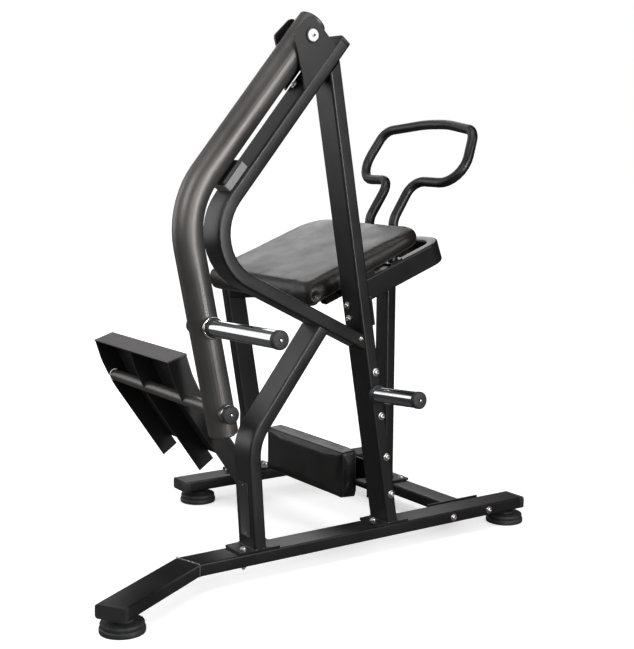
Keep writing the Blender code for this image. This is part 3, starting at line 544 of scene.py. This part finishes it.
def loft(bm, rings):
    """Close a stack of equal rings into one shell with a fan at each end."""
    loops = [[bm.verts.new(point) for point in ring] for ring in rings]
    count = len(loops[0])
    for first, second in zip(loops, loops[1:]):
        for k in range(count):
            n = (k + 1) % count
            bm.faces.new((first[k], first[n], second[n], second[k]))
    bm.faces.new(loops[0][::-1])
    bm.faces.new(loops[-1])


def baked(obj):
    """The mesh of an object with its modifiers worked in."""
    graph = bpy.context.evaluated_depsgraph_get()
    mesh = bpy.data.meshes.new_from_object(obj.evaluated_get(graph))
    obj.modifiers.clear()
    obj.data = mesh


def shell(name, bm, voxel):
    bmesh.ops.recalc_face_normals(bm, faces=bm.faces)
    bmesh.ops.triangulate(bm, faces=[face for face in bm.faces if len(face.verts) > 4])
    mesh = bpy.data.meshes.new(name)
    bm.to_mesh(mesh)
    bm.free()
    obj = bpy.data.objects.new(name, mesh)
    SCENE.collection.objects.link(obj)
    remesh = obj.modifiers.new("voxels", "REMESH")
    remesh.mode = "VOXEL"
    remesh.voxel_size = voxel
    baked(obj)
    smooth = obj.modifiers.new("even", "SMOOTH")
    smooth.iterations = 4
    baked(obj)
    return obj


def inflate(obj, is_pinned, pressure, reach):
    """Blow the shell up as cloth under pressure; pinned points stay and none moves past its reach."""
    before = [vert.co.copy() for vert in obj.data.vertices]
    group = obj.vertex_groups.new(name="pinned")
    group.add([k for k, point in enumerate(before) if is_pinned(point)], 1.0, "ADD")
    cloth = obj.modifiers.new("air", "CLOTH")
    cloth.settings.quality = 5
    cloth.settings.mass = 0.2
    cloth.settings.tension_stiffness = 30
    cloth.settings.compression_stiffness = 12
    cloth.settings.shear_stiffness = 10
    cloth.settings.bending_stiffness = 0.6
    cloth.settings.use_pressure = True
    cloth.settings.uniform_pressure_force = pressure
    cloth.settings.vertex_group_mass = "pinned"
    cloth.settings.effector_weights.gravity = 0
    for number in range(1, SIM_FRAMES + 1):
        SCENE.frame_set(number)
    baked(obj)
    for vert, start in zip(obj.data.vertices, before):
        move = vert.co - start
        if move.length > reach:
            vert.co = start + move.normalized() * reach
    SCENE.frame_set(1)


def finish_soft(obj, look, node):
    obj.vertex_groups.clear()
    obj.data.materials.clear()
    obj.data.materials.append(M[look])
    obj.data.shade_smooth()
    fine = obj.modifiers.new("fine", "SUBSURF")
    fine.levels = 1
    fine.render_levels = 1
    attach(obj, "frame")
    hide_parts(node)


def smooth_step(value):
    value = min(max(value, 0.0), 1.0)
    return value * value * (3 - 2 * value)


def outline_points(half_s, half_t, corners, steps=10):
    """Rounded rectangle with its own radius at each corner, as (s, t) points."""
    points = []
    for (sign_s, sign_t), start, radius in corners:
        for k in range(steps + 1):
            angle = math.radians(start + 90 * k / steps)
            points.append((sign_s * (half_s - radius) + radius * math.cos(angle),
                           sign_t * (half_t - radius) + radius * math.sin(angle)))
    return points


def pad_frame_origin(node):
    """Middle of a sloped board's upper face and its half length along the slope."""
    first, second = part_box(node)
    size = second - first
    thick = (size.z * math.cos(SLOPE) - size.x * math.sin(SLOPE)) / math.cos(2 * SLOPE)
    long = (size.x - thick * math.sin(SLOPE)) / math.cos(SLOPE)
    return (first + second) / 2 + SLOPE_UP * thick / 2, long / 2


PAD_OVERHANG = 0.092         # pad beyond its board on each side
PAD_THICK = 0.056
ROLL_REACH = 0.062           # how far back the front roll runs
ROLL_DROP = 0.026            # how far it hangs under the pad
PAD_BACK_R = 0.100
PAD_FRONT_R = 0.026
PAD_BASE, BOARD_HALF = pad_frame_origin("torso_pad_board")
PAD_HALF_S = BOARD_HALF + PAD_OVERHANG
PAD_HALF_T = (high("torso_pad").y - low("torso_pad").y) / 2


def pad_point(s, t, u):
    return PAD_BASE + SLOPE_DIR * s + Y_AXIS * t + SLOPE_UP * (u + 0.0006)


def pad_local(point):
    offset = point - PAD_BASE
    return offset.dot(SLOPE_DIR), offset.y, offset.dot(SLOPE_UP)


def roll_weight(s):
    """1 at the pad's front end, 0 behind the roll."""
    return smooth_step((-PAD_HALF_S + ROLL_REACH - s) / (ROLL_REACH * 0.55))


def torso_pad():
    """Thick flat pad with soft edges, whose front end is rolled down over the board's end."""
    corners = (((1, 1), 0, PAD_BACK_R), ((-1, 1), 90, PAD_FRONT_R), ((-1, -1), 180, PAD_FRONT_R),
               ((1, -1), 270, PAD_BACK_R))
    layers = ((0.080, 0.0), (0.030, 0.0), (0.010, 0.004), (0.003, 0.014), (0.002, 0.030), (0.005, 0.042),
              (0.014, 0.051), (0.030, 0.055), (0.080, PAD_THICK))
    rings = []
    for inset, height in layers:
        ring = []
        for s, t in outline_points(PAD_HALF_S - inset, PAD_HALF_T - inset, corners):
            weight = roll_weight(s)
            low_part = 1 - height / PAD_THICK
            drop = ROLL_DROP * weight * low_part
            ring.append(pad_point(s, t, height - drop))
        rings.append(ring)
    bm = bmesh.new()
    loft(bm, rings)
    pad = shell("torso_cushion", bm, 0.006)

    def rests(point):
        s, t, u = pad_local(point)
        inside = abs(s) < BOARD_HALF + 0.01 and abs(t) < PAD_HALF_T - PAD_OVERHANG + 0.01
        return u < 0.004 and inside

    inflate(pad, rests, 3.0, 0.005)
    wrinkle(pad)
    finish_soft(pad, "pad", "torso_pad")
    return pad


def wrinkle(pad):
    """Pleats where the vinyl is gathered round each end of the roll, and faint creases over the top."""
    front = -PAD_HALF_S + 0.030
    for vert in pad.data.vertices:
        s, t, u = pad_local(vert.co)
        near_end = smooth_step((abs(t) - PAD_HALF_T + 0.050) / 0.045)
        roll = roll_weight(s) * near_end
        angle = math.atan2(u - 0.018, s - front)
        pleat = math.sin(angle * 11 + 3.0 * noise.noise(Vector((s, t, u)) * 40.0))
        outward = Vector((math.cos(angle) * SLOPE_DIR.x, 0, 0)) + SLOPE_UP * math.sin(angle)
        vert.co += outward * (0.0013 * roll * pleat)
        dimple = math.exp(-((s - front) ** 2 + (u - 0.016) ** 2) / 0.00016) * near_end
        vert.co.y -= math.copysign(0.009 * dimple, t)
        if u > PAD_THICK * 0.8:
            broad = noise.noise(Vector((s * 7.0, t * 5.0, 3.0)))
            fine = noise.noise(Vector((s * 19.0, t * 12.0, 7.0)))
            vert.co += SLOPE_UP * (0.0011 * (broad + 0.5 * fine))


def surface_loop(obj, rays):
    """Points where rays (start, direction) meet a soft piece."""
    graph = bpy.context.evaluated_depsgraph_get()
    body = obj.evaluated_get(graph)
    found = []
    for start, direction in rays:
        hit, point, normal, _ = body.ray_cast(start, direction, distance=0.2)
        if hit:
            found.append(point + normal * 0.0002)
    return found


def welt(name, points, radius, look="thread"):
    """Sewn cord along a closed seam."""
    bm = bmesh.new()
    tube_along(bm, points, radius, True, 8)
    return build(name, bm, look, "frame")


def torso_seam(pad):
    """Cord sewn round the pad's side, a little above the board."""
    corners = (((1, 1), 0, PAD_BACK_R), ((-1, 1), 90, PAD_FRONT_R), ((-1, -1), 180, PAD_FRONT_R),
               ((1, -1), 270, PAD_BACK_R))
    outer = outline_points(PAD_HALF_S + 0.06, PAD_HALF_T + 0.06, corners, 24)
    inner = outline_points(PAD_HALF_S - 0.06, PAD_HALF_T - 0.06, corners, 24)
    rays = []
    for (s0, t0), (s1, t1) in zip(outer, inner):
        height = 0.014 - ROLL_DROP * 0.7 * roll_weight(s1 - 0.06)
        start = pad_point(s0, t0, height)
        rays.append((start, (pad_point(s1, t1, height) - start).normalized()))
    welt("torso_seam", surface_loop(pad, rays), 0.0016)


torso_seam(torso_pad())


# span and width of the dark sheet that paints shade inside the pad frame
SHADE_SHEET_SPAN = (0.036, 0.444)  # along the slope, from the middle of the board
SHADE_SHEET_WIDTH = 0.118


def shade_sheet():
    """Dark powder-coated sheet between the pad frame's two arms, set 30 mm below their top: painted shade
    that fills the frame's shadowed inside.
    """
    start, end = SHADE_SHEET_SPAN
    half_width = SHADE_SHEET_WIDTH / 2
    rings = []
    for inset, depth in ((0.0, -0.1330), (0.0, -0.1306), (0.0006, -0.1300)):
        centre = pad_point((start + end) / 2, 0, depth)
        length, width = end - start - 2 * inset, 2 * (half_width - inset)
        rings.append(rectangle(centre, SLOPE_DIR, Y_AXIS, length, width, 0.037))
    bm = bmesh.new()
    loft(bm, rings)
    build("pad_shade_sheet", bm, "frame", "frame")


shade_sheet()


SHIN_CORNER_R = 0.010


def shin_pad():
    """Boxed pad with firm edges, a slightly domed face and a corded seam round each face."""
    first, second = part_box("shin_pad")
    size = second - first
    centre = (first + second) / 2
    rings = []
    for inset, x in ((0.030, 0.5), (0.008, 0.5), (0.003, 0.47), (0.002, 0.40), (0.002, -0.36), (0.003, -0.44),
                     (0.008, -0.48), (0.030, -0.49)):
        width, height = size.y - 2 * inset, size.z - 2 * inset
        rings.append(rectangle(centre + X_AXIS * size.x * x, Y_AXIS, Z_AXIS, width, height, SHIN_CORNER_R))
    bm = bmesh.new()
    loft(bm, rings)
    pad = shell("shin_cushion", bm, 0.005)
    inflate(pad, lambda point: point.x > second.x - 0.002, 2.5, 0.003)
    finish_soft(pad, "shin", "shin_pad")
    for name, x in (("front", first.x + 0.0065), ("back", second.x - 0.0065)):
        around = rectangle((x, centre.y, centre.z), Y_AXIS, Z_AXIS, size.y + 0.06, size.z + 0.06, 0.03)
        inner = rectangle((x, centre.y, centre.z), Y_AXIS, Z_AXIS, size.y - 0.06, size.z - 0.06, 0.01)
        dense = []
        for k in range(len(around)):
            n = (k + 1) % len(around)
            for step in range(12):
                start = around[k].lerp(around[n], step / 12)
                dense.append((start, (inner[k].lerp(inner[n], step / 12) - start).normalized()))
        welt(f"shin_seam_{name}", surface_loop(pad, dense), 0.0015)


shin_pad()


# ---------------------------------------------------------------- levelling feet
def levelling_foot(place):
    """Two-tier rubber foot with a steel nut and a threaded stem up into the rail."""
    node = f"levelling_foot_{place}"
    centre = middle(node)
    base = Vector((centre.x, centre.y, low(node).z))
    r = (high(node).x - low(node).x) / 2
    body = f"foot_{place}"
    profile = [(0, 0.0006), (r * 0.80, 0.0006), (r * 0.93, 0), (r * 0.985, 0.0014), (r, 0.004), (r, 0.0135),
               (r * 0.985, 0.0155), (r * 0.95, 0.0168), (r * 0.93, 0.0178), (r * 0.945, 0.0190),
               (r * 0.955, 0.0205), (r * 0.955, 0.0275), (r * 0.935, 0.0300), (r * 0.89, 0.0312),
               (r * 0.60, 0.0332), (r * 0.52, 0.0345), (r * 0.48, 0.0385), (r * 0.42, 0.0400), (0.0, 0.0402)]
    pad = turned(f"foot_rubber_{place}", base, Z_AXIS, profile, "rubber", body, 64)
    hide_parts(node)
    bm = bmesh.new()
    turn(bm, base + Z_AXIS * 0.0405, Z_AXIS,
         [(0, 0), (0.0085, 0), (0.0095, 0.0008), (0.0095, 0.0062), (0.0085, 0.0070), (0, 0.0070)], 6)
    nut = build(f"foot_nut_{place}", bm, "zinc", body, smooth=False)
    bevel = nut.modifiers.new("edge", "BEVEL")
    bevel.width = 0.0004
    bevel.segments = 2
    thread_profile = [(0, 0)]
    for k in range(24):
        thread_profile += [(0.0054, 0.0010 * k + 0.0002), (0.0060, 0.0010 * k + 0.0006)]
    thread_profile.append((0, 0.0245))
    turned(f"foot_stem_{place}", base + Z_AXIS * 0.0475, Z_AXIS, thread_profile, "zinc", body, 20)


for place in ("front_near", "front_far", "rear_near", "rear_far"):
    levelling_foot(place)


# ---------------------------------------------------------------- near frame hardware
UPRIGHT_LEAN = math.radians(9.6)
UPRIGHT_BASE = Vector((high("near_upright").x - 0.065, 0, low("near_upright").z))
TUBE_FACE = low("near_upright").y
BOW_UP = math.radians(50.3)
BOW_DIR = Vector((math.cos(BOW_UP), 0, math.sin(BOW_UP)))
BOW_NORMAL = Vector((-math.sin(BOW_UP), 0, math.cos(BOW_UP)))


def upright_point(z, across=0.0):
    return Vector((UPRIGHT_BASE.x - math.tan(UPRIGHT_LEAN) * (z - UPRIGHT_BASE.z) + across, TUBE_FACE, z))


BOLT_HEIGHTS = (0.595, 0.452, 0.316, 0.191)


def near_bolts():
    """Row of bolts up the upright's near face, and a small one where the bow meets it."""
    for number, z in enumerate(BOLT_HEIGHTS):
        cap_bolt(f"upright_bolt_{number}", upright_point(z, 0.009), -Y_AXIS, "frame")
    cap_bolt("bow_joint_bolt", upright_point(0.706, -0.032), -Y_AXIS, "frame", 0.0050, 0.0066)


def base_bolts():
    """Bolts through the base plates, with a lock nut under the rail."""
    rail_bottom = low("near_rail").z
    leg = low("near_leg")
    spots = {
        "leg_base_front": Vector((leg.x + 0.024, -0.020, leg.z + 0.008)),
        "leg_base_rear": Vector((leg.x + 0.114, 0.020, leg.z + 0.008)),
        "upright_base_rear": Vector((high("near_upright").x - 0.024, 0.020, leg.z + 0.008)),
    }
    for name, seat in spots.items():
        cap_bolt(f"{name}_bolt", seat, Z_AXIS, "frame", 0.0090, 0.0115)
        lock_nut(f"{name}_nut", Vector((seat.x, seat.y, rail_bottom)), -Z_AXIS, "frame")
    under = middle("upright_base_bolt")
    lock_nut("upright_base_nut", Vector((under.x, under.y, rail_bottom)), -Z_AXIS, "frame", 0.0105)
    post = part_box("seat_post")
    plate_top = post[0].z + 0.008
    for side in (-1, 1):
        seat = Vector((post[1].x - 0.020, (post[0].y + post[1].y) / 2 + side * 0.055, plate_top))
        cap_bolt(f"post_base_bolt_{side + 1}", seat, Z_AXIS, "frame", 0.0085, 0.0110)
    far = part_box("far_leg")
    for side in (0, 1):
        x = (far[0].x + 0.018, far[1].x - 0.018)[side]
        seat = Vector((x, middle("far_rail").y, far[0].z + 0.008))
        cap_bolt(f"far_base_bolt_{side}", seat, Z_AXIS, "frame", 0.0085, 0.0110)


near_bolts()
base_bolts()


def pivot_trim():
    """Dark ring and screw on each retaining washer, and a bolt on the bow between the ears."""
    for side, outward in (("near", -Y_AXIS), ("far", Y_AXIS)):
        node = f"pivot_washer_{side}"
        first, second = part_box(node)
        centre = (first + second) / 2
        face_y = second.y if side == "near" else first.y
        start = Vector((centre.x, face_y, centre.z))
        ring = [(0.0186, 0.0), (0.0226, 0.0), (0.0230, 0.0006), (0.0228, 0.0022), (0.0216, 0.0030),
                (0.0194, 0.0030), (0.0186, 0.0022), (0.0186, 0.0)]
        turned(f"pivot_ring_{side}", start, outward, ring, "rubber", "frame", 48)
        tip = first.y if side == "near" else second.y
        seat = Vector((centre.x, tip, centre.z))
        turned(f"pivot_screw_{side}", seat, outward,
               [(0, 0), (0.0040, 0), (0.0037, 0.0008), (0.0016, 0.0010), (0.0014, 0.0004), (0, 0.0004)],
               "thread", "frame", 20)
    cap_bolt("ear_foot_bolt", ear_foot_seat(), BOW_NORMAL, "frame", 0.0085, 0.0115)


def ear_foot_seat():
    """Point on the bow's upper face, between the ears' feet."""
    corner = Vector((low("bow_top_cap").x, 0, high("bow_top_cap").z))
    anchor = corner - BOW_DIR * 0.19
    return Vector((anchor.x, 0.012, anchor.z))


pivot_trim()


def cap_screws():
    """A recessed screw in each horn cap and in the pedal bar's cap."""
    for node, body, degrees in (("main_horn_cap", "lever", 2.0), ("storage_horn_cap", "frame", 5.0),
                                ("pedal_bar_cap", "kick_plate", 0.0)):
        first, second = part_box(node)
        tilt = math.radians(degrees)
        outward = Vector((0, -math.cos(tilt), math.sin(tilt)))
        centre = (first + second) / 2
        seat = Vector((centre.x, first.y, centre.z)) + outward * -0.0008
        profile = [(0, 0), (0.0042, 0), (0.0042, 0.0016), (0.0036, 0.0021), (0.0022, 0.0021),
                   (0.0018, 0.0012), (0, 0.0012)]
        turned(f"{node}_screw", seat, outward, profile, "zinc", body, 28)


cap_screws()


def pedal_ring():
    """Bright ring between the lever's cross sleeve and the pedal bar's cap."""
    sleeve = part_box("pedal_sleeve")
    centre = (sleeve[0] + sleeve[1]) / 2
    start = Vector((centre.x, sleeve[0].y - 0.0004, centre.z))
    turned("pedal_ring", start, -Y_AXIS,
           [(0.0196, 0), (0.0277, 0), (0.0284, 0.0008), (0.0284, 0.0026), (0.0277, 0.0034), (0.0196, 0.0034),
            (0.0196, 0)], "chrome", "kick_plate", 56)


pedal_ring()


# ---------------------------------------------------------------- name plate, left blank
LEG_LEAN = math.radians(3.8)


def name_plate():
    """Thin plate with a raised rim on the leg's face, held by two rivets."""
    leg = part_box("near_leg")
    face_low = Vector((leg[0].x + 0.048, 0, leg[0].z))
    upward = Vector((-math.sin(LEG_LEAN), 0, math.cos(LEG_LEAN)))
    outward = Vector((-math.cos(LEG_LEAN), 0, -math.sin(LEG_LEAN)))
    centre = face_low + upward * 0.125 + outward * 0.0004
    bm = bmesh.new()
    rim = rectangle(centre, Y_AXIS, upward, 0.056, 0.170, 0.005)
    lips = rectangle(centre + outward * 0.0012, Y_AXIS, upward, 0.055, 0.169, 0.005)
    groove = rectangle(centre + outward * 0.0012, Y_AXIS, upward, 0.049, 0.163, 0.004)
    floor = rectangle(centre + outward * 0.0007, Y_AXIS, upward, 0.048, 0.162, 0.004)
    loft(bm, [rim, lips, groove, floor])
    build("name_plate", bm, "plate", "frame")
    for k, z in enumerate((0.076, -0.076)):
        seat = centre + outward * 0.0006 + upward * z
        turned(f"name_plate_rivet_{k}", seat, outward,
               [(0, 0), (0.0022, 0), (0.0021, 0.0006), (0.0014, 0.0011), (0, 0.0013)], "zinc", "frame", 16)


name_plate()


# ---------------------------------------------------------------- weld beads
RAIL_STRAIGHT = 1.284        # near rail from its rear end to the kink
SPLAY_HALF = math.radians(15.5)


def weld_beads():
    """Beads round the feet of leg, upright and post, and across the near rail's kink."""
    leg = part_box("near_leg")
    plate_top = leg[0].z + 0.008
    leg_x = leg[0].x + 0.069
    foot = Vector((leg_x, 0, plate_top))
    bead("leg_foot_weld", rectangle(foot, X_AXIS, Y_AXIS, 0.045, 0.098, 0.006), "frame")
    foot = Vector((UPRIGHT_BASE.x, 0, plate_top))
    bead("upright_foot_weld", rectangle(foot, X_AXIS, Y_AXIS, 0.045, 0.098, 0.006), "frame")
    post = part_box("seat_post")
    foot = Vector((post[0].x + 0.027, middle("seat_post").y, plate_top))
    bead("post_foot_weld", rectangle(foot, X_AXIS, Y_AXIS, 0.042, 0.072, 0.006), "frame")
    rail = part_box("near_rail")
    kink_x = rail[1].x - RAIL_STRAIGHT
    line = []
    half = rail[1].y
    slant = math.tan(SPLAY_HALF)
    top = rail[1].z + 0.0002
    for k in range(13):
        y = half - 2 * half * k / 12
        line.append(Vector((kink_x - slant * y, y, top)))
    line.append(Vector((kink_x + slant * half, -half - 0.0003, top - 0.002)))
    line.append(Vector((kink_x + slant * half, -half - 0.0003, rail[0].z + 0.001)))
    bead("rail_kink_weld", line, "frame", 0.0016, False, "zinc")


weld_beads()


# ---------------------------------------------------------------- floor, light and camera
CAMERA_AT = Vector((-2.949, -3.1135, 1.30))
CAMERA_YAW = math.radians(34.6)
CAMERA_PITCH = math.radians(8.2)
CAMERA_ROLL = math.radians(0.4)
CAMERA_LENS = 69.34


def camera():
    data = bpy.data.cameras.new("camera")
    data.sensor_width = 36
    data.lens = CAMERA_LENS
    obj = bpy.data.objects.new("camera", data)
    bpy.context.scene.collection.objects.link(obj)
    level = Vector((math.sin(CAMERA_YAW), math.cos(CAMERA_YAW), 0))
    ahead = level * math.cos(CAMERA_PITCH) - Z_AXIS * math.sin(CAMERA_PITCH)
    right = ahead.cross(Z_AXIS).normalized()
    upward = right.cross(ahead)
    side = right * math.cos(CAMERA_ROLL) + upward * math.sin(CAMERA_ROLL)
    top = upward * math.cos(CAMERA_ROLL) - right * math.sin(CAMERA_ROLL)
    matrix = Matrix((side, top, -ahead)).transposed().to_4x4()
    matrix.translation = CAMERA_AT
    obj.matrix_world = matrix
    bpy.context.scene.camera = obj


def soft_light(name, at, target, size, power):
    data = bpy.data.lights.new(name, "AREA")
    data.shape = "RECTANGLE"
    data.size, data.size_y = size
    data.energy = power
    obj = bpy.data.objects.new(name, data)
    bpy.context.scene.collection.objects.link(obj)
    aim = (Vector(target) - Vector(at)).to_track_quat("-Z", "Y")
    obj.matrix_world = Matrix.Translation(Vector(at)) @ aim.to_matrix().to_4x4()
    obj.visible_camera = False
    return obj


def studio_floor():
    """Pale floor: white to the camera, with soft contact shadows, and dim in reflections."""
    bm = bmesh.new()
    bmesh.ops.create_grid(bm, x_segments=1, y_segments=1, size=30.0)
    mesh = bpy.data.meshes.new("floor")
    bm.to_mesh(mesh)
    bm.free()
    floor = bpy.data.objects.new("floor", mesh)
    bpy.context.scene.collection.objects.link(floor)
    s = Shader("pale_floor")
    tone = s.noise(3.0, 4.0)
    seen = s.mix(tone, (0.93, 0.93, 0.93), (0.96, 0.96, 0.96))
    camera_ray = s.add("ShaderNodeLightPath").outputs["Is Camera Ray"]
    away = s.add("ShaderNodeVectorMath", operation="LENGTH")
    s.feed(away.inputs[0], s.place)
    glow = s.math("MULTIPLY", camera_ray, s.remap(away.outputs["Value"], 1.2, 4.5, 0.50, 1.0))
    s.put(Base_Color=s.mix(camera_ray, (0.14, 0.14, 0.14), seen), Roughness=0.9, Specular_IOR_Level=0.0,
          Emission_Color=(1.0, 1.0, 1.0, 1.0), Emission_Strength=glow)
    mesh.materials.append(s.material)


BRIGHT_SIDE = (-0.55, 0.80, 0.25)
WORLD_RAMP = (0.2, 1.0, 0.02, 0.55)      # cosine to the bright side, and the strength at each end


def studio_world():
    """White to the camera; to the object, brighter behind and above than in front."""
    world = bpy.data.worlds.new("studio")
    bpy.context.scene.world = world
    world.use_nodes = True
    tree = world.node_tree
    background = tree.nodes["Background"]
    coordinate = tree.nodes.new("ShaderNodeTexCoord")
    dot = tree.nodes.new("ShaderNodeVectorMath")
    dot.operation = "DOT_PRODUCT"
    tree.links.new(coordinate.outputs["Generated"], dot.inputs[0])
    dot.inputs[1].default_value = Vector(BRIGHT_SIDE).normalized()
    ramp = tree.nodes.new("ShaderNodeMapRange")
    tree.links.new(dot.outputs["Value"], ramp.inputs["Value"])
    for key, number in zip(("From Min", "From Max", "To Min", "To Max"), WORLD_RAMP):
        ramp.inputs[key].default_value = number
    path = tree.nodes.new("ShaderNodeLightPath")
    mix = tree.nodes.new("ShaderNodeMix")
    mix.data_type = "FLOAT"
    tree.links.new(path.outputs["Is Camera Ray"], mix.inputs["Factor"])
    tree.links.new(ramp.outputs["Result"], mix.inputs["A"])
    mix.inputs["B"].default_value = 1.0
    tree.links.new(mix.outputs["Result"], background.inputs["Strength"])
    background.inputs["Color"].default_value = (1.0, 1.0, 1.0, 1.0)


def studio():
    """Soft boxes over, behind and beside the machine, with a tall strip for the lever's highlight."""
    studio_floor()
    studio_world()
    centre = Vector((-0.9, 0.2, 0.8))
    soft_light("key", (-4.2, -1.0, 2.9), centre, (1.6, 2.6), 60.0)
    soft_light("top", (-0.6, -0.2, 4.2), centre, (2.6, 2.6), 40.0)
    soft_light("fill", (1.7, -3.5, 3.2), centre, (1.8, 2.2), 38.0)
    soft_light("back", (1.4, 3.6, 2.6), centre, (2.4, 1.6), 30.0)
    soft_light("strip", (-0.1, -3.9, 1.5), (-1.0, 0.0, 1.1), (0.4, 2.8), 105.0)
    soft_light("front", (-2.3, -4.2, 1.7), (-1.0, 0.0, 1.1), (1.0, 2.6), 42.0)
    soft_light("left_back", (-3.4, 3.2, 1.9), (-0.9, 0.2, 0.9), (2.2, 3.2), 35.0)


camera()
studio()
SCENE.view_settings.view_transform = "Standard"
